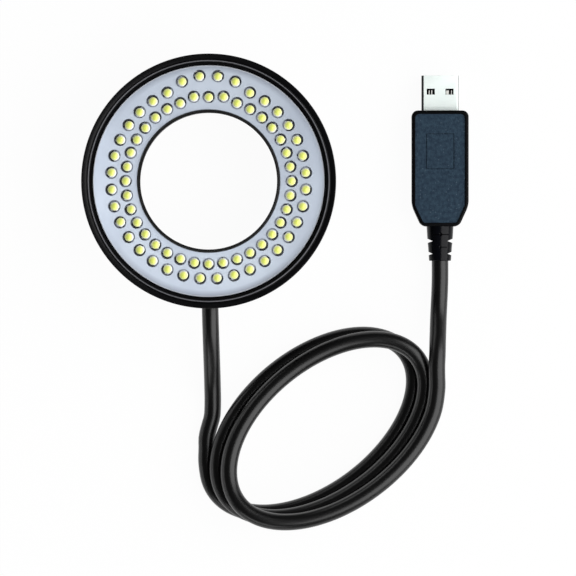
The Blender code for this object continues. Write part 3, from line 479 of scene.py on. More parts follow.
def on_circle(radius, degrees, height=0.0):
    """A place on a circle round the ring's axis, its local +X pointing outwards."""
    turn = Matrix.Rotation(math.radians(degrees), 4, "Z")
    return turn @ Matrix.Translation((radius, 0, height))


def on_clamp(degrees):
    """The frame of a thumbscrew: origin at the boss end, +Z inwards, +X up."""
    lay = Matrix(((0, 0, -1, 0), (0, 1, 0, 0), (1, 0, 0, 0), (0, 0, 0, 1)))
    return on_circle(BOSS_END, degrees, CLAMP_HEIGHT) @ lay


def cut(obj, bm, operation="DIFFERENCE"):
    """Cuts a solid away for good, or adds it. The solid's own parts may not overlap."""
    tool = as_object("tool", bm)
    modifier = obj.modifiers.new("solid", "BOOLEAN")
    modifier.operation = operation
    modifier.solver = "EXACT"
    modifier.object = tool
    bpy.context.view_layer.update()
    shape = obj.evaluated_get(bpy.context.evaluated_depsgraph_get())
    mesh = bpy.data.meshes.new_from_object(shape)
    assert mesh.polygons, f"{obj.name} came out empty"
    obj.modifiers.clear()
    obj.data = mesh
    bpy.data.objects.remove(tool, do_unlink=True)
    mesh.name = obj.name
    mesh.shade_smooth()
    mesh.set_sharp_from_angle(angle=math.radians(SHARP_EDGE))


def edges_eased(obj, width, segments=2, angle=40):
    """A small round on each sharp edge, as a mould leaves it."""
    bevel = obj.modifiers.new("eased_edges", "BEVEL")
    bevel.width = width
    bevel.segments = segments
    bevel.limit_method = "ANGLE"
    bevel.angle_limit = math.radians(angle)
    bevel.harden_normals = True


cover = as_object("back_cover_shell", spun([
    (COVER_RADIUS, COVER_BACK), (COVER_RADIUS, COVER_FRONT),
    (TUBE_OUTER, COVER_FRONT), (TUBE_OUTER, LIP_SEAT), (LIP_OUTER, LIP_SEAT),
    (LIP_OUTER, LIP_TOP - LIP_SLOPE), (LIP_OUTER - LIP_SLOPE, LIP_TOP), (LIP_RADIUS, LIP_TOP),
    (LIP_RADIUS, LIP_TOP - LIP_STEP),
    (BORE_RADIUS, LIP_TOP - LIP_STEP - COVER_EDGE), (BORE_RADIUS, COLLAR_END),
    (COLLAR_OUTER, COLLAR_END), (COLLAR_OUTER, COVER_BACK),
], ROUND_STEPS))
clamp_places = [on_clamp(angle) for angle in CLAMP_ANGLES]
cover_places = [on_circle(PILLAR_CIRCLE, angle) for angle in COVER_SCREW_ANGLES]

boss = bmesh.new()
bmesh.ops.create_circle(boss, cap_ends=True, segments=48, radius=BOSS_RADIUS)
boss_top = COVER_BACK + BOSS_IN_COVER - CLAMP_HEIGHT
for vert in [vert for vert in boss.verts if vert.co.x > SAME_POINT]:
    vert.co = (boss_top, math.copysign(BOSS_RADIUS, vert.co.y), 0)
bmesh.ops.remove_doubles(boss, verts=boss.verts, dist=SAME_POINT)
boss = drawn_out(boss, (0, 0, BOSS_END - COLLAR_OUTER + BOSS_IN_COLLAR))
cut(cover, placed(boss, *clamp_places), "UNION")
cut(cover, placed(drum(INSERT_SEAT, -PAST_THE_FACE, INSERT_DEPTH), *clamp_places))
cut(cover, placed(drum(CLAMP_BORE, -PAST_THE_FACE, CLAMP_BORE_END), *clamp_places))
cut(cover, placed(spun([
    (0, COVER_BACK - PAST_THE_FACE), (COVER_SCREW_HEAD, COVER_BACK - PAST_THE_FACE),
    (COVER_SCREW_HEAD, COVER_BACK), (COVER_SCREW_SHANK, COVER_BACK + COUNTERSINK),
    (COVER_SCREW_SHANK, COVER_FRONT + PAST_THE_FACE), (0, COVER_FRONT + PAST_THE_FACE),
], 48), *cover_places))
edges_eased(cover, width=0.00018)
fitted(cover, cover_plastic, "black_plastic", "back_cover")

# Brass inserts: threaded bushes pressed into the bosses, knurled outside, each with a
# chamfered mouth. The thumbscrews turn in them.
INSERT_RADIUS = 0.0029
INSERT_LENGTH = 0.0036
INSERT_MOUTH = 0.0003

insert_brass = grained(
    "insert_brass", (0.70, 0.50, 0.19), (0.60, 0.42, 0.16), gloss=(0.26, 0.40),
    patch=260, grain=3200, depth=0.00002, metallic=1,
)
for number, place in enumerate(clamp_places, start=1):
    insert = as_object(f"brass_insert_{number}", placed(spun([
        (CLAMP_BORE + INSERT_MOUTH, 0), (INSERT_RADIUS, 0), (INSERT_RADIUS, INSERT_LENGTH),
        (CLAMP_BORE, INSERT_LENGTH), (CLAMP_BORE, INSERT_MOUTH),
    ], 48), place))
    fitted(insert, insert_brass, "brass", f"clamp_insert_{number}")

# Thumbscrews: turned and nickel plated steel, with a fluted head to grip, a plain
# shoulder and an M4 thread. The threaded end has a socket for the soft tip.
HEAD_OUTER = 0.0110
HEAD_LENGTH = 0.0050
HEAD_RADIUS = 0.0039
HEAD_CHAMFER = 0.0005
FLUTES = 16
FLUTE_STEPS = 8
FLUTE_DEPTH = 0.0004
FLUTE_POWER = 1.5
SHOULDER_RADIUS = 0.0029
SHOULDER_LENGTH = 0.0010
SHOULDER = HEAD_LENGTH - HEAD_OUTER
SHOULDER_END = SHOULDER + SHOULDER_LENGTH
SHANK_RADIUS = 0.0020
SHANK_END = 0.0049
THREAD_PITCH = 0.0007
THREAD_HALF = 0.00032
THREAD_ROOT = 0.00172
THREAD_SUNK = 0.0001
THREAD_STEPS = 24
SOCKET_RADIUS = 0.0012
SOCKET_DEPTH = 0.0023

screw_steel = grained(
    "screw_steel", (0.52, 0.53, 0.55), (0.44, 0.45, 0.47), gloss=(0.22, 0.36),
    patch=240, grain=2400, metallic=1,
)


def bevelled(bm, geom, offset, segments, affect="EDGES"):
    """Breaks or rounds some edges or corners of a bmesh."""
    bmesh.ops.bevel(
        bm, geom=geom, offset=offset, segments=segments, profile=0.5, affect=affect,
        material=-1,
    )


def rims_bevelled(bm, offset, segments):
    """Breaks or rounds the level edges of a drum or of a thick plate."""
    rims = [edge for edge in bm.edges if edge.verts[0].co.z == edge.verts[1].co.z]
    bevelled(bm, rims, offset, segments)
    bmesh.ops.recalc_face_normals(bm, faces=bm.faces)
    return bm


def fluted_head():
    """A drum with round flutes pressed into its side and a broken edge at both ends."""
    bm = drum(HEAD_RADIUS, -HEAD_OUTER, HEAD_LENGTH - HEAD_OUTER, FLUTES * FLUTE_STEPS)
    for vert in bm.verts:
        angle = math.atan2(vert.co.y, vert.co.x)
        dent = FLUTE_DEPTH * (0.5 - 0.5 * math.cos(FLUTES * angle)) ** FLUTE_POWER
        vert.co.xy = vert.co.xy * (1 - dent / HEAD_RADIUS)
    return rims_bevelled(bm, HEAD_CHAMFER, 2)


def thread_ridge(start, end):
    """The thread: a small triangle wound round the shank, closed at both ends."""
    bm = bmesh.new()
    sunk = THREAD_ROOT - THREAD_SUNK
    outline = [(sunk, -THREAD_HALF), (SHANK_RADIUS, 0), (sunk, THREAD_HALF)]
    verts = [bm.verts.new((radius, 0, start + height)) for radius, height in outline]
    face = bm.faces.new(verts)
    turns = (end - start) / THREAD_PITCH
    steps = round(turns * THREAD_STEPS)
    bmesh.ops.spin(
        bm, geom=[face], cent=(0, 0, 0), axis=(0, 0, 1), angle=2 * math.pi * turns,
        dvec=(0, 0, (end - start) / steps), steps=steps,
    )
    bmesh.ops.recalc_face_normals(bm, faces=bm.faces)
    return bm


for number, place in enumerate(clamp_places, start=1):
    shank = spun([
        (0, SHOULDER - SHOULDER_LENGTH), (SHOULDER_RADIUS, SHOULDER - SHOULDER_LENGTH),
        (SHOULDER_RADIUS, SHOULDER_END), (THREAD_ROOT, SHOULDER_END), (THREAD_ROOT, SHANK_END),
        (SOCKET_RADIUS, SHANK_END), (SOCKET_RADIUS, SHANK_END - SOCKET_DEPTH),
        (0, SHANK_END - SOCKET_DEPTH),
    ], 48)
    ridge = thread_ridge(SHOULDER_END + THREAD_PITCH / 2, SHANK_END - THREAD_PITCH / 2)
    parts = placed(together(fluted_head(), shank, ridge), place)
    thumbscrew = as_object(f"thumbscrew_{number}_steel", parts, sharp=30)
    body = f"thumbscrew_{number}"
    fitted(thumbscrew, screw_steel, "steel", f"clamp_screw_{number}", body=body)

# Soft tips: turned nylon plugs pressed into the screws' ends. They press on the
# objective, with a domed face, and do not turn with the screw.
TIP_RADIUS = 0.0019
TIP_START = SHANK_END + 0.0003
TIP_END = 0.0069
TIP_DOME = ((1.0, 0.0005), (0.86, 0.00018), (0.5, 0.00004), (0.0, 0.0))
SPIGOT_RADIUS = 0.0009
SPIGOT_LENGTH = 0.0020

tip_nylon = grained(
    "tip_nylon", (0.80, 0.79, 0.73), (0.74, 0.73, 0.66), gloss=(0.38, 0.52),
    patch=300, grain=2600, depth=0.00002,
)
for number, place in enumerate(clamp_places, start=1):
    tip = as_object(f"soft_tip_{number}", placed(spun([
        (0, SHANK_END - SPIGOT_LENGTH), (SPIGOT_RADIUS, SHANK_END - SPIGOT_LENGTH),
        (SPIGOT_RADIUS, TIP_START), (TIP_RADIUS, TIP_START),
        *[(TIP_RADIUS * share, TIP_END - drop) for share, drop in TIP_DOME],
    ], 40), place))
    edges_eased(tip, width=0.00008)
    fitted(tip, tip_nylon, "nylon", f"clamp_tip_{number}", body=f"tip_{number}")

# Cover screws: zinc plated steel, countersunk, with a cross recess. They go through the
# cover into the pillars of the housing.
SCREW_HEAD = 0.0019
SCREW_RIM = 0.00015
SCREW_SHANK = 0.0009
SCREW_LENGTH = 0.0062
SCREW_TURN = 37
CROSS_WIDTH = 0.00055
CROSS_SPAN = 0.0022
CROSS_DEPTH = 0.0007


def block(centre, sides, bm=None):
    """A rectangular block, by itself or added to a bmesh."""
    bm = bmesh.new() if bm is None else bm
    place = Matrix.Translation(centre) @ Matrix.Diagonal((*sides, 1))
    bmesh.ops.create_cube(bm, size=1, matrix=place)
    return bm


for number, place in enumerate(cover_places, start=1):
    end = COVER_BACK + SCREW_LENGTH
    screw = as_object(f"cover_screw_steel_{number}", spun([
        (0, COVER_BACK), (SCREW_HEAD, COVER_BACK), (SCREW_HEAD, COVER_BACK + SCREW_RIM),
        (SCREW_SHANK, COVER_BACK + COUNTERSINK), (SCREW_SHANK, end - SCREW_SHANK), (0, end),
    ], 40))
    for sides in ((CROSS_WIDTH, CROSS_SPAN), (CROSS_SPAN, CROSS_WIDTH)):
        cut(screw, block((0, 0, COVER_BACK), (*sides, 2 * CROSS_DEPTH)))
    turned = Matrix.Rotation(math.radians(SCREW_TURN * number), 4, "Z")
    screw.data.transform(place @ turned)
    fitted(screw, screw_steel, "steel", f"cover_screw_{number}")

# Housing: one black ABS moulding. Its outer wall ends in a wide rim round the lamps, with
# a rounded bead, a groove and a sloping edge, and seven pillars inside take the screws.
# The thin grey line on the bead's crown is a painted highlight.
RIM_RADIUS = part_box("housing")[1].x
RIM_UNDERSIDE = 0.0184
WALL_RADIUS = 0.0380
WALL_INNER = 0.0358
PLATE_SEAT = 0.0376
LEDGE = 0.0211
PILLAR_RADIUS = 0.0022
PILLAR_LOW = 0.0111
PILLAR_HIGH = 0.0165
GROMMET_HOLE = 0.0036
BOARD_SCREW_ANGLES = (90, 210, 330)
BEAD_CIRCLE = 0.03872
BEAD_ROUND = 0.00030
BEAD_FOOT = 0.0383
BEAD_HIGHLIGHT = (0.155, 0.155, 0.17)
BEAD_HIGHLIGHT_WIDTH = 0.00024
STEP_TOP = 0.0228
GROOVE_CIRCLE = 0.03925
GROOVE_ROUND = 0.00020
GROOVE_SINK = 0.00030
LAND_INNER = 0.03954
LAND_DROP = 0.00028
RIM_ROUND = 0.00025
RIM_DROP = 0.00012
RIM_COVE = 0.0006

housing_plastic = grained(
    "housing_plastic", (0.0018, 0.0018, 0.0022), (0.0026, 0.0026, 0.0031),
    gloss=(0.20, 0.28), patch=60, grain=1400, specular=0.21,
)


def ring_band_group():
    """A mask, full on a thin band at some radius round the ring light's axis, that places
    painted highlights and painted shade.
    """
    tree, given, result = effect("ring_band", ("Radius", "Width"), ("Mask",))
    here = wired(tree, "TexCoord", {}, "Object")
    flat = figured(tree, "MULTIPLY", here, (1, 1, 0), kind="VectorMath")
    reach = figured(tree, "LENGTH", flat, kind="VectorMath", output="Value")
    aside = figured(tree, "ABSOLUTE", figured(tree, "SUBTRACT", reach, given["Radius"]))
    tree.links.new(ramped(tree, aside, 0.0, given["Width"], 1.0, 0.0), result["Mask"])
    return tree


ring_band = ring_band_group()


def mask_in(material, group, **sizes):
    """A mask's node group placed in a material, with sizes of its own."""
    return wired(material.node_tree, "Group", sizes, node_tree=group)


def painted_over(material, mask, colour, **settings):
    """Lays a colour over what a material has, where a mask is full."""
    tree = material.node_tree
    base = tree.nodes["Principled BSDF"].inputs["Base Color"]
    tree.links.new(mixed(tree, mask, base.links[0].from_socket, colour, **settings), base)


def arc(centre, radius, start, end, steps):
    """(radius, height) points on a circle in the profile, from one angle to another."""
    x, z = centre
    angles = [math.radians(start + (end - start) * i / steps) for i in range(steps + 1)]
    return [(x + radius * math.cos(angle), z + radius * math.sin(angle)) for angle in angles]


# A painted highlight: a thin grey line on the bead's crown.
bead = mask_in(housing_plastic, ring_band, Radius=BEAD_CIRCLE, Width=BEAD_HIGHLIGHT_WIDTH)
painted_over(housing_plastic, bead, BEAD_HIGHLIGHT)
housing = as_object("housing_shell", spun([
    (WALL_INNER, COVER_BACK), (WALL_RADIUS - COVER_EDGE, COVER_BACK),
    (WALL_RADIUS, COVER_BACK + COVER_EDGE),
    *arc((WALL_RADIUS + RIM_COVE, RIM_UNDERSIDE - RIM_COVE), RIM_COVE, 180, 90, 4),
    *arc((RIM_RADIUS - RIM_COVE, RIM_UNDERSIDE + RIM_COVE), RIM_COVE, -90, 0, 4),
    *arc((RIM_RADIUS - RIM_ROUND, RING_FACE - RIM_DROP - RIM_ROUND), RIM_ROUND, 0, 99, 6),
    (LAND_INNER, RING_FACE - LAND_DROP),
    *arc((GROOVE_CIRCLE, RING_FACE - GROOVE_SINK), GROOVE_ROUND, 0, -180, 8),
    *arc((BEAD_CIRCLE, RING_FACE - BEAD_ROUND), BEAD_ROUND, 0, 180, 10),
    (BEAD_FOOT, STEP_TOP), (PLATE_SEAT, STEP_TOP),
    (PLATE_SEAT, LEDGE), (WALL_INNER, LEDGE),
], ROUND_STEPS))
board_places = [on_circle(PILLAR_CIRCLE, angle) for angle in BOARD_SCREW_ANGLES]
pillars = drum(PILLAR_RADIUS, PILLAR_LOW, PILLAR_HIGH, 32)
cut(housing, placed(pillars, *cover_places, *board_places), "UNION")
along_cord = Matrix.Translation((0, 0, CORD_HEIGHT)) @ Matrix.Rotation(math.pi / 2, 4, "X")
cut(housing, placed(drum(GROMMET_HOLE, PILLAR_CIRCLE, RIM_RADIUS), along_cord))
fitted(housing, housing_plastic, "black_plastic", "housing")

# Grommet: soft black rubber pushed into the hole in the wall, with a flange outside and
# a short nose that closes on the cord.
GROMMET_BORE = 0.0030
GROMMET_NECK = 0.0033
GROMMET_FLANGE = 0.0038
GROMMET_NOSE = 0.0034
GROMMET_SLOPE = 0.0003
FLANGE_START = 0.0383
FLANGE_END = 0.0393
NOSE_END = 0.0404
NOSE_ROUND = 0.00015
NOSE_TAPER = 0.0002
NOSE_MOUTH = 0.0001

grommet_rubber = grained(
    "grommet_rubber", (0.0045, 0.0045, 0.0048), (0.0065, 0.0065, 0.0068),
    gloss=(0.40, 0.52), patch=200, grain=2600, depth=0.00002,
)
grommet = as_object("cord_grommet_rubber", placed(spun([
    (GROMMET_BORE, WALL_INNER), (GROMMET_NECK, WALL_INNER), (GROMMET_NECK, FLANGE_START),
    (GROMMET_FLANGE, FLANGE_START), (GROMMET_FLANGE, FLANGE_END - GROMMET_SLOPE),
    (GROMMET_FLANGE - GROMMET_SLOPE, FLANGE_END), (GROMMET_NOSE, FLANGE_END + GROMMET_SLOPE),
    (GROMMET_NOSE - NOSE_TAPER, NOSE_END - NOSE_ROUND), (GROMMET_BORE + NOSE_MOUTH, NOSE_END),
    (GROMMET_BORE, NOSE_END - NOSE_ROUND),
], 48), along_cord))
fitted(grommet, grommet_rubber, "black_rubber", "cord_grommet")

# Lamp board: an annular fibreglass board with white solder mask, under the plate. Three
# pan head screws hold it on the housing's pillars.
BOARD_LOW = 0.0168
BOARD_TOP = 0.0184
BOARD_BORE = 0.0238
BOARD_RADIUS = 0.0355
BOARD_HOLE = 0.0011

board_mask = grained(
    "board_mask", (0.62, 0.66, 0.58), (0.55, 0.60, 0.52), gloss=(0.30, 0.42),
    patch=160, grain=1800,
)
board = as_object("lamp_board", spun([
    (BOARD_BORE, BOARD_LOW), (BOARD_RADIUS, BOARD_LOW), (BOARD_RADIUS, BOARD_TOP),
    (BOARD_BORE, BOARD_TOP),
], ROUND_STEPS))
board_hole = drum(BOARD_HOLE, BOARD_LOW - PAST_THE_FACE, BOARD_TOP + PAST_THE_FACE, 24)
cut(board, placed(board_hole, *board_places))
edges_eased(board, width=0.0001)
fitted(board, board_mask, "lamp_board", "led_board")

# Lamps: 72 white round lamps of 3 mm, soldered by hand, so they stand a little unevenly.
# Each is clear resin over a yellow phosphor, with a flange at its foot. Its colour holds
# painted light: a white highlight round the phosphor, grey shade on the foot, dark arcs of
# shade.
LAMP_COUNT = 36
INNER_LAMPS = 0.0267
OUTER_LAMPS = 0.0314
INNER_SHIFTS = (0.00090, 0.00036, 0.00084)
OUTER_SHIFTS = (0.00172, 0.00246, 0.00254, 0.00176)
LAMP_RADIUS = 0.0015
LAMP_TOP = 0.0234
DOME_BASE = 0.0219
FLANGE_RADIUS = 0.00182
FLANGE_LOW = 0.0210
FLANGE_HIGH = 0.0221
LAMP_SHIFT = 0.00012
LAMP_SCATTER = 0.00006
LAMP_TILT = math.radians(2.2)
LAMP_TWIST = 30
LAMP_STEPS = 20
RESIN_ROUGHNESS = 0.10
RESIN_IOR = 1.5

# Seen from above, in lamp radii from its middle: the phosphor's colours with the painted white
# highlight round it, where the foot's painted grey shade starts, the ring of dark arcs of
# painted shade, and how broken those arcs are
PHOSPHOR_CENTRE = (0.08, 0.0, 0.0)
PHOSPHOR_AND_HIGHLIGHT_COLOURS = (
    (0.0, (0.78, 0.83, 0.15)), (0.34, (0.78, 0.85, 0.17)), (0.62, (0.85, 0.90, 0.27)),
    (0.82, (0.90, 0.92, 0.46)), (0.92, (0.95, 0.96, 0.90)), (1.0, (0.92, 0.93, 0.93)),
)
FOOT_SHADE_FROM = (0.98, 1.04)
FOOT_SHADE_GREY = (0.33, 0.36, 0.42)
ARC_INSIDE = (0.90, 1.0)
ARC_OUTSIDE = (1.15, 1.20)
ARC_SHADE = (0.006, 0.007, 0.010)
ARC_BREAKS = 700.0
ARC_BREAK_SHARE = 7.0
ARC_SIDE = (3.25, 3.60)


def lamp_circle(radius, first, shifts):
    """(radius, degrees) of one circle of lamps. Those at its top stand further out."""
    for k in range(LAMP_COUNT):
        step = k + first
        index = round(step - LAMP_COUNT / 4 + (len(shifts) - 1) / 2)
        shift = shifts[index] if 0 <= index < len(shifts) else 0.0
        yield radius + shift, 360 * step / LAMP_COUNT


def lamp_paint():
    """Yellow phosphor with a painted white highlight round it, a foot painted grey as shade,
    and dark arcs of painted shade on one side.
    """
    material = bpy.data.materials.new("lamp_resin")
    material.use_nodes = True
    tree = material.node_tree
    shader = tree.nodes["Principled BSDF"].inputs
    shader["Roughness"].default_value = RESIN_ROUGHNESS
    shader["IOR"].default_value = RESIN_IOR
    lens = wired(tree, "UVMap", {}, uv_map="lens")
    here = wired(tree, "TexCoord", {}, "Object")
    away = figured(tree, "DISTANCE", lens, PHOSPHOR_CENTRE, kind="VectorMath", output="Value")
    # The white round the yellow phosphor is a painted highlight.
    core = wired(tree, "ValToRGB", {"Fac": away})
    stops = core.node.color_ramp.elements
    for position, colour in PHOSPHOR_AND_HIGHLIGHT_COLOURS[1:-1]:
        stops.new(position)
    for stop, (position, colour) in zip(stops, PHOSPHOR_AND_HIGHLIGHT_COLOURS):
        stop.color = (*colour, 1)
    tree.links.new(core, shader["Base Color"])

    reach = figured(tree, "LENGTH", lens, kind="VectorMath", output="Value")
    # Painted shade: the foot goes grey.
    painted_over(material, ramped(tree, reach, *FOOT_SHADE_FROM), FOOT_SHADE_GREY)
    # Painted shade: broken dark arcs round the lamp's edge, mostly on its outer side.
    breaks = wired(tree, "TexNoise", {"Vector": here, "Scale": ARC_BREAKS, "Detail": 1.0})
    across = wired(tree, "SeparateXYZ", {0: lens}, "X")
    broken = figured(tree, "MULTIPLY_ADD", breaks, ARC_BREAK_SHARE, across)
    arcs = figured(
        tree, "MULTIPLY", ramped(tree, reach, *ARC_INSIDE),
        ramped(tree, reach, *ARC_OUTSIDE, 1.0, 0.0),
    )
    arcs = figured(tree, "MULTIPLY", ramped(tree, broken, *ARC_SIDE), arcs)
    painted_over(material, arcs, ARC_SHADE)
    return material


lamp_places = [
    *lamp_circle(INNER_LAMPS, 0, INNER_SHIFTS), *lamp_circle(OUTER_LAMPS, 0.5, OUTER_SHIFTS),
]
scatter = random.Random(7)
lamp = spun([
    (0, BOARD_TOP), (LAMP_RADIUS, BOARD_TOP), (LAMP_RADIUS, FLANGE_LOW),
    (FLANGE_RADIUS, FLANGE_LOW), (FLANGE_RADIUS, FLANGE_HIGH), (LAMP_RADIUS, FLANGE_HIGH),
    *arc((0, DOME_BASE), LAMP_RADIUS, 0, 78, 5), (0, LAMP_TOP),
], LAMP_STEPS)
lens = lamp.loops.layers.uv.new("lens")
pivot = Matrix.Translation((0, 0, FLANGE_HIGH))
each_lamp = []
for radius, degrees in lamp_places:
    inwards = radius - LAMP_SHIFT + scatter.uniform(-LAMP_SCATTER, LAMP_SCATTER)
    lean = Matrix.Rotation(scatter.uniform(-LAMP_TILT, LAMP_TILT), 4, "X")
    lean @= Matrix.Rotation(scatter.uniform(-LAMP_TILT, LAMP_TILT), 4, "Y")
    facing = Matrix.Rotation(math.radians(scatter.gauss(0, LAMP_TWIST)), 2)
    for face in lamp.faces:
        for loop in face.loops:
            loop[lens].uv = facing @ loop.vert.co.xy / LAMP_RADIUS
    place = on_circle(inwards, degrees) @ pivot @ lean @ pivot.inverted()
    each_lamp.append(lamp.copy())
    bmesh.ops.transform(each_lamp[-1], matrix=place, verts=each_lamp[-1].verts)
lamp.free()
lamps = as_object("lamps", together(*each_lamp), sharp=50)
fitted(lamps, lamp_paint(), "lamp_board")

# Lamp plate: an aluminium ring, bead blasted and clear anodised, with one punched hole for
# each lamp, on the housing's ledge and the step of the bore tube. Its colour is painted
# lighter towards the lower left and at its left and right sides, with a painted highlight on
# its outer edge, painted shade in the seam at its bore and painted shade near the rim at
# top and bottom.
PLATE_LOW = 0.0214
PLATE_TOP = 0.0224
PLATE_BORE = 0.02295
PLATE_RADIUS = 0.0373
PLATE_EDGE = 0.00020
LAMP_HOLE = 0.0020
PAINTED_LIGHT_TOWARDS = (-0.82, -0.57, 0.0)
PAINTED_LIGHT_RANGE = (0.83, 1.15)
PAINTED_SIDE_LIGHT_FROM = (0.0285, 0.0350)
PAINTED_SIDE_LIGHT_GAIN = 1.14
PAINTED_RIM_SHADE = (0.16, 0.18, 0.24)
PAINTED_RIM_SHADE_WIDTH = 0.0022
PAINTED_RIM_SHADE_SHARE = 0.62
PAINTED_RIM_SHADE_HALF_LENGTH = 0.020
EDGE_HIGHLIGHT = (0.70, 0.73, 0.78)
EDGE_HIGHLIGHT_WIDTH = 0.00024
SEAM_SHADE = (0.015, 0.016, 0.020)
SEAM_WIDTH = 0.00026

plate_silver = grained(
    "plate_silver", (0.535, 0.60, 0.71), (0.60, 0.67, 0.775), gloss=(0.38, 0.50),
    patch=40, grain=2200, depth=0.00002, metallic=0.12,
)
tree = plate_silver.node_tree
here = wired(tree, "TexCoord", {}, "Object")
# Painted light: the colour grows lighter towards the lower left and at the left and right
# sides.
along = figured(tree, "DOT_PRODUCT", here, PAINTED_LIGHT_TOWARDS, kind="VectorMath", output="Value")
from_middle = figured(tree, "ABSOLUTE", wired(tree, "SeparateXYZ", {0: here}, "X"))
painted_light = figured(
    tree, "MULTIPLY", ramped(tree, along, -PLATE_RADIUS, PLATE_RADIUS, *PAINTED_LIGHT_RANGE),
    ramped(tree, from_middle, *PAINTED_SIDE_LIGHT_FROM, 1.0, PAINTED_SIDE_LIGHT_GAIN),
)
painted_over(plate_silver, 1.0, painted_light, blend_type="MULTIPLY")
# Painted shade near the rim, full at top and bottom and gone at the left and right sides.
rim_shade_mask = mask_in(plate_silver, ring_band, Radius=PLATE_RADIUS, Width=PAINTED_RIM_SHADE_WIDTH)
shade_at_top_and_bottom = ramped(tree, from_middle, PAINTED_RIM_SHADE_HALF_LENGTH, PAINTED_SIDE_LIGHT_FROM[1], PAINTED_RIM_SHADE_SHARE, 0.0)
painted_over(plate_silver, figured(tree, "MULTIPLY", rim_shade_mask, shade_at_top_and_bottom), PAINTED_RIM_SHADE)
# A painted highlight on the outer edge, and painted shade in the seam at the bore.
for colour, radius, width in (
    (EDGE_HIGHLIGHT, PLATE_RADIUS - PLATE_EDGE, EDGE_HIGHLIGHT_WIDTH),
    (SEAM_SHADE, PLATE_BORE, SEAM_WIDTH),
):
    edge = mask_in(plate_silver, ring_band, Radius=radius, Width=width)
    painted_over(plate_silver, edge, colour)
plate = as_object("lamp_plate", spun([
    (PLATE_BORE, PLATE_LOW), (PLATE_RADIUS, PLATE_LOW),
    (PLATE_RADIUS, PLATE_TOP - PLATE_EDGE), (PLATE_RADIUS - PLATE_EDGE, PLATE_TOP),
    (PLATE_BORE, PLATE_TOP),
], ROUND_STEPS))
punch = drum(LAMP_HOLE, PLATE_LOW - PLATE_EDGE, PLATE_TOP + PLATE_EDGE, 32)
cut(plate, placed(punch, *[on_circle(radius, degrees) for radius, degrees in lamp_places]))
edges_eased(plate, width=0.00008, angle=30)
fitted(plate, plate_silver, "silver_plate", "led_plate")

# Parts under the board, never seen with the ring closed: its pan head screws, the chip
# resistors and the two wires that rise from the cord. The plug has two such wires too.
chip_body = grained(
    "chip_body", (0.035, 0.035, 0.038), (0.050, 0.050, 0.054), gloss=(0.30, 0.44),
    patch=900, grain=5200,
)
wire_skin = {"gloss": (0.34, 0.46), "patch": 500, "grain": 4200}
red_wire = grained("red_wire", (0.55, 0.025, 0.020), (0.48, 0.020, 0.018), **wire_skin)
black_wire = grained("black_wire", (0.014, 0.014, 0.015), (0.020, 0.020, 0.021), **wire_skin)


def refinished(finishes):
    """Gives its real finish to each solid of the frame, by how its name starts."""
    for name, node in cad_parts.items():
        for start, material in finishes.items():
            if name.startswith(start):
                node.data.materials.clear()
                node.data.materials.append(material)


refinished({
    "resistor": chip_body, "board_screw": screw_steel, "lead_wire_red": red_wire,
    "lead_wire_black": black_wire, "plug_wire_red": red_wire, "plug_wire_black": black_wire,
})

# Plug body: a black moulding over the USB connector, with round front corners, a tapered
# rear and a sunken panel on both faces.
PLUG_LOW, PLUG_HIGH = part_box("plug_body")
PLUG_X = (PLUG_LOW.x + PLUG_HIGH.x) / 2
PLUG_Z = (PLUG_LOW.z + PLUG_HIGH.z) / 2
PLUG_HALF = (PLUG_HIGH.x - PLUG_LOW.x) / 2
PLUG_THICK_HALF = (PLUG_HIGH.z - PLUG_LOW.z) / 2
PLUG_LENGTH = PLUG_HIGH.y - PLUG_LOW.y
PLUG_REAR_HALF = 0.0061
PLUG_REAR_INSET = 0.6
PLUG_TAPER = 0.0068
PLUG_CORNER = 0.0020
PLUG_REAR_CORNER = 0.0016
PLUG_EDGE = 0.0006
PLUG_CAVITY = 0.0210
PANEL_MARGIN = 0.0011
PANEL_REAR_CORNER = 0.0005
PANEL_THICKNESS = 0.0008
PANEL_SINK = 0.0005
PANEL_BED = 0.0001
PANEL_FLOOR = PLUG_THICK_HALF - PANEL_SINK - PANEL_THICKNESS
SHELL_HALF_WIDTH = 0.0060
SHELL_HALF_HEIGHT = 0.00225
SHELL_CORNER = 0.0006
SHELL_WALL = 0.0003

plug_plastic = grained(
    "plug_plastic", (0.0012, 0.0013, 0.0018), (0.0018, 0.0019, 0.0026),
    gloss=(0.34, 0.44), patch=120, grain=1600, specular=0.06,
)


def plug_outline(inset, rear_corner, height):
    """The plug's flat outline, drawn in by an inset, as one face with round corners."""
    bm = bmesh.new()
    half, rear = PLUG_HALF - inset, PLUG_REAR_HALF - inset * PLUG_REAR_INSET
    right = [(rear, inset), (half, PLUG_TAPER), (half, PLUG_LENGTH - inset)]
    corners = right + [(-x, y) for x, y in reversed(right)]
    verts = [bm.verts.new((x, y, height)) for x, y in corners]
    bm.faces.new(verts)
    bevelled(bm, (verts[2], verts[3]), PLUG_CORNER - inset / 2, 6, "VERTICES")
    bevelled(bm, (verts[0], verts[5]), rear_corner, 6, "VERTICES")
    bevelled(bm, (verts[1], verts[4]), rear_corner, 6, "VERTICES")
    return bm


def rounded_slot(grown, start, end):
    """The shell's section, grown by so much on each side, drawn out along +Y."""
    bm = bmesh.new()
    x, z = SHELL_HALF_WIDTH + grown, SHELL_HALF_HEIGHT + grown
    corners = ((x, z), (-x, z), (-x, -z), (x, -z))
    verts = [bm.verts.new((x, start, z)) for x, z in corners]
    bm.faces.new(verts)
    bevelled(bm, verts, SHELL_CORNER + grown, 5, "VERTICES")
    return drawn_out(bm, (0, end - start, 0))


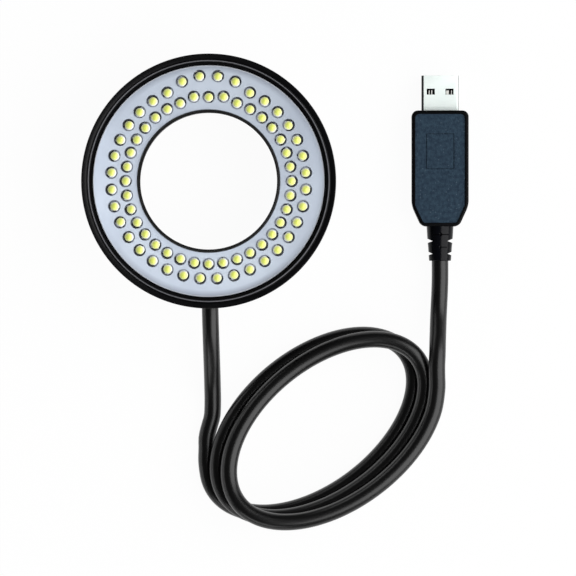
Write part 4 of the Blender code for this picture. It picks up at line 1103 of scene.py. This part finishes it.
plug_solid = plug_outline(0, PLUG_REAR_CORNER, -PLUG_THICK_HALF)
plug_solid = drawn_out(plug_solid, (0, 0, 2 * PLUG_THICK_HALF))
plug_body = as_object("plug_moulding", rims_bevelled(plug_solid, PLUG_EDGE, 5))
for side in (1, -1):
    recess = plug_outline(PANEL_MARGIN, PANEL_REAR_CORNER, side * PANEL_FLOOR)
    cut(plug_body, drawn_out(recess, (0, 0, side * PLUG_THICK_HALF)))
cut(plug_body, rounded_slot(SHELL_WALL, PLUG_LENGTH - PLUG_CAVITY, PLUG_LENGTH + PLUG_CORNER))
plug_place = Matrix.Translation((PLUG_X, PLUG_LOW.y, PLUG_Z))
plug_body.data.transform(plug_place)
edges_eased(plug_body, width=0.00010, angle=50)
fitted(plug_body, plug_plastic, "black_plastic", "plug_body")

# Inset panels: slate plastic plates with a spark eroded grain and a few pale specks,
# glued in the body. The top one has a plain rectangle engraved in it.
BADGE_MIDDLE = 0.0243
BADGE_HALF = (0.00440, 0.00565)
BADGE_LINE = 0.00026
BADGE_DEPTH = 0.00030
SPECK_SCALE = 1200.0
SPECK_SIZE = 0.20
SPECK_CHANCE = 0.80
SPECK_PALE = (0.050, 0.080, 0.110)


def speck_group():
    """Small pale specks, scattered in the moulding: a mask."""
    tree, given, result = effect("pale_specks", ("Scale", "Size"), ("Mask",))
    here = wired(tree, "TexCoord", {}, "Object")
    cells = wired(tree, "TexVoronoi", {"Vector": here, "Scale": given["Scale"]}).node.outputs
    chance = wired(tree, "SeparateColor", {"Color": cells["Color"]}, "Red")
    few = figured(tree, "GREATER_THAN", chance, SPECK_CHANCE)
    near = figured(tree, "LESS_THAN", cells["Distance"], given["Size"])
    tree.links.new(figured(tree, "MULTIPLY", few, near), result["Mask"])
    return tree


panel_slate = grained(
    "panel_slate", (0.008, 0.022, 0.042), (0.019, 0.042, 0.067), gloss=(0.50, 0.68),
    patch=950, grain=2200, depth=0.00016, specular=0.2,
)
specks = mask_in(panel_slate, speck_group(), Scale=SPECK_SCALE, Size=SPECK_SIZE)
painted_over(panel_slate, specks, SPECK_PALE)

for name, side in (("top", 1), ("bottom", -1)):
    bed = side * (PANEL_FLOOR + PANEL_BED)
    outline = plug_outline(PANEL_MARGIN + PANEL_BED / 2, PANEL_REAR_CORNER, bed)
    panel = as_object(f"plug_{name}_panel", drawn_out(outline, (0, 0, side * PANEL_THICKNESS)))
    if side == 1:
        face = PANEL_FLOOR + PANEL_BED + PANEL_THICKNESS
        x, y = BADGE_HALF
        wide, long = 2 * x + BADGE_LINE, 2 * y + BADGE_LINE
        for across, along, sides in (
            (0, -y, (wide, BADGE_LINE)), (0, y, (wide, BADGE_LINE)),
            (-x, 0, (BADGE_LINE, long)), (x, 0, (BADGE_LINE, long)),
        ):
            cut(panel, block((across, BADGE_MIDDLE + along, face), (*sides, 2 * BADGE_DEPTH)))
    panel.data.transform(plug_place)
    edges_eased(panel, width=0.00006)
    fitted(panel, panel_slate, "slate_plastic", f"plug_panel_{name}")

# USB shell: tin plated steel sheet, folded to a tube, with two windows on each face and a
# pressed line where it enters the body. Its left and right edges are painted dark as shade.
SHELL_REAR = PLUG_LENGTH - 0.0055
SHELL_TIP = PLUG_LENGTH + 0.0113
WINDOW_OFFSET = 0.00303
WINDOW_SIDES = (0.0026, 0.0019)
WINDOW_FROM_TIP = 0.0052
PRESSED_LINE = (0.0100, 0.00016)
PRESSED_LINE_FROM_BODY = 0.0008
LEFT_FOLD = 0.00525
LEFT_FOLD_WIDTH = 0.0001
RIGHT_FOLD = (0.00570, 0.00585)
RIGHT_FOLD_SHARE = 0.8
FOLD_SHADE = (0.012, 0.013, 0.015)

shell_metal = grained(
    "shell_metal", (0.89, 0.965, 0.935), (0.87, 0.95, 0.92), gloss=(0.34, 0.44),
    patch=150, grain=2200, metallic=0.10,
)
tree = shell_metal.node_tree
across = wired(tree, "SeparateXYZ", {0: wired(tree, "TexCoord", {}, "Object")}, "X")
left = PLUG_X - LEFT_FOLD
right = [PLUG_X + distance for distance in RIGHT_FOLD]
# Painted shade along the shell's left and right edges.
fold_shade = figured(
    tree, "MAXIMUM", ramped(tree, across, left, left - LEFT_FOLD_WIDTH),
    ramped(tree, across, *right, 0.0, RIGHT_FOLD_SHARE),
)
painted_over(shell_metal, fold_shade, FOLD_SHADE)
shell = as_object("usb_shell_sheet", rounded_slot(0, SHELL_REAR, SHELL_TIP))
cut(shell, rounded_slot(-SHELL_WALL, SHELL_REAR - SHELL_WALL, SHELL_TIP + SHELL_WALL))
windows, lines = bmesh.new(), bmesh.new()
for side in (1, -1):
    block(
        (side * WINDOW_OFFSET, SHELL_TIP - WINDOW_FROM_TIP, 0),
        (*WINDOW_SIDES, 4 * SHELL_HALF_HEIGHT), windows,
    )
    block(
        (0, PLUG_LENGTH + PRESSED_LINE_FROM_BODY, side * SHELL_HALF_HEIGHT),
        (*PRESSED_LINE, 2 * SHELL_WALL / 3), lines,
    )
cut(shell, windows)
cut(shell, lines)
shell.data.transform(plug_place)
edges_eased(shell, width=0.00005, angle=50)
fitted(shell, shell_metal, "shell_steel", "usb_shell")

# Tongue: the black insulator with slots for the four contacts. The contacts are gold at the
# front and painted near black behind it, as shade under the shell's windows. Pale ribs on the
# tongue show in the shell's windows.
GOLD_FROM_TIP = 0.0042
CONTACT_SHADE = (0.010, 0.011, 0.016)
RIBS = ((-0.00353, 0.00014), (-0.00269, 0.00017), (0.00240, 0.00042), (0.00368, 0.00014))
RIB_FROM_TIP = (0.0048, 0.0068)
RIB_HEIGHTS = (0.0011, 0.0019)

core_skin = {"gloss": (0.36, 0.48), "patch": 300, "grain": 2600}
tongue_plastic = grained(
    "tongue_plastic", (0.004, 0.005, 0.009), (0.006, 0.007, 0.012), **core_skin
)
filler_plastic = grained(
    "filler_plastic", (0.70, 0.70, 0.67), (0.64, 0.64, 0.61), **core_skin
)
contact_metal = grained(
    "contact_metal", (0.80, 0.58, 0.20), (0.72, 0.52, 0.18), gloss=(0.18, 0.30),
    patch=500, grain=4200, metallic=1,
)
tree = contact_metal.node_tree
along = wired(tree, "SeparateXYZ", {0: wired(tree, "TexCoord", {}, "Object")}, "Y")
# Painted shade: the contacts go near black behind their gold front, under the windows.
gold_start = PLUG_LOW.y + SHELL_TIP - GOLD_FROM_TIP
shaded_back = ramped(tree, along, gold_start + SHELL_WALL, gold_start)
painted_over(contact_metal, shaded_back, CONTACT_SHADE)
refinished({
    "usb_insulator": tongue_plastic, "plug_core": filler_plastic, "usb_contact": contact_metal,
})

ribs_mesh = bmesh.new()
rib_near, rib_far = RIB_FROM_TIP
rib_low, rib_high = RIB_HEIGHTS
for across, half in RIBS:
    block(
        (across, SHELL_TIP - (rib_near + rib_far) / 2, (rib_low + rib_high) / 2),
        (2 * half, rib_far - rib_near, rib_high - rib_low), ribs_mesh,
    )
bmesh.ops.transform(ribs_mesh, matrix=plug_place, verts=ribs_mesh.verts)
ribs = as_object("tongue_ribs", ribs_mesh)
edges_eased(ribs, width=0.00005)
fitted(ribs, filler_plastic, "white_plastic")

# Strain relief: soft black PVC moulded round the cord behind the plug. Pointed notches in
# its sides and thin slots above and below take turns, so that it bends evenly.
RELIEF_RADIUS = 0.00435
RELIEF_WAIST = 0.00408
RELIEF_MIDDLE = 0.00385
RELIEF_TAIL = 0.00358
RELIEF_LENGTH = 0.0108
RELIEF_EDGE = 0.0003
RELIEF_GAP = 0.0003
RELIEF_ROOT = 0.0004
NOTCHES = (0.0042, 0.0083)
NOTCH_HALF = 0.0006
NOTCH_ROOT = 0.0024
NOTCH_SKEW = 0.0002
SLOTS = (0.0023, 0.0064)
SLOT_HALF = 0.00014
SLOT_ROOT = 0.0031
DIMPLE_RADIUS = 0.0007
DIMPLE_RISE = 0.0002

relief_pvc = grained(
    "relief_pvc", (0.0016, 0.0018, 0.0030), (0.0024, 0.0026, 0.0040), gloss=(0.18, 0.25),
    patch=200, grain=2000, specular=0.12,
)


def side_notches():
    """Wedges that point at the cord from both sides."""
    reach = 2 * RELIEF_RADIUS
    slope = (reach - NOTCH_ROOT) / (RELIEF_MIDDLE - NOTCH_ROOT) * NOTCH_HALF
    corners = ((NOTCH_ROOT, NOTCH_SKEW), (reach, slope), (reach, -slope))
    wedges = []
    for distance in NOTCHES:
        for side in (1, -1):
            wedge = bmesh.new()
            wedge.faces.new([
                wedge.verts.new((side * x, -reach, distance + z)) for x, z in corners
            ])
            wedges.append(drawn_out(wedge, (0, 2 * reach, 0)))
    return together(*wedges)


# The relief's profile is (radius, distance from the plug). Each thin slot has the round
# mark of a core pin at its middle.
relief_end = (RELIEF_TAIL - RELIEF_EDGE, RELIEF_LENGTH - RELIEF_EDGE)
relief = as_object("strain_relief_pvc", spun([
    (0, -RELIEF_ROOT), (RELIEF_RADIUS, -RELIEF_ROOT), (RELIEF_WAIST, NOTCHES[0]),
    (RELIEF_MIDDLE, SLOTS[1]), *arc(relief_end, RELIEF_EDGE, 0, 90, 4), (0, RELIEF_LENGTH),
], 64))
slots, dimples = bmesh.new(), bmesh.new()
for distance in SLOTS:
    for side in (1, -1):
        block(
            (0, side * (SLOT_ROOT + RELIEF_RADIUS / 2), distance),
            (3 * RELIEF_RADIUS, RELIEF_RADIUS, 2 * SLOT_HALF), slots,
        )
        bmesh.ops.create_uvsphere(
            dimples, u_segments=20, v_segments=10, radius=DIMPLE_RADIUS,
            matrix=Matrix.Translation((0, side * (RELIEF_WAIST + DIMPLE_RISE), distance)),
        )
for tool in (side_notches(), slots, dimples):
    cut(relief, tool)
relief_place = Matrix.Translation((PLUG_X, PLUG_LOW.y - RELIEF_GAP, PLUG_Z))
relief.data.transform(relief_place @ Matrix.Rotation(math.pi / 2, 4, "X"))
edges_eased(relief, width=0.00008, angle=50)
fitted(relief, relief_pvc, "black_rubber", "strain_relief")
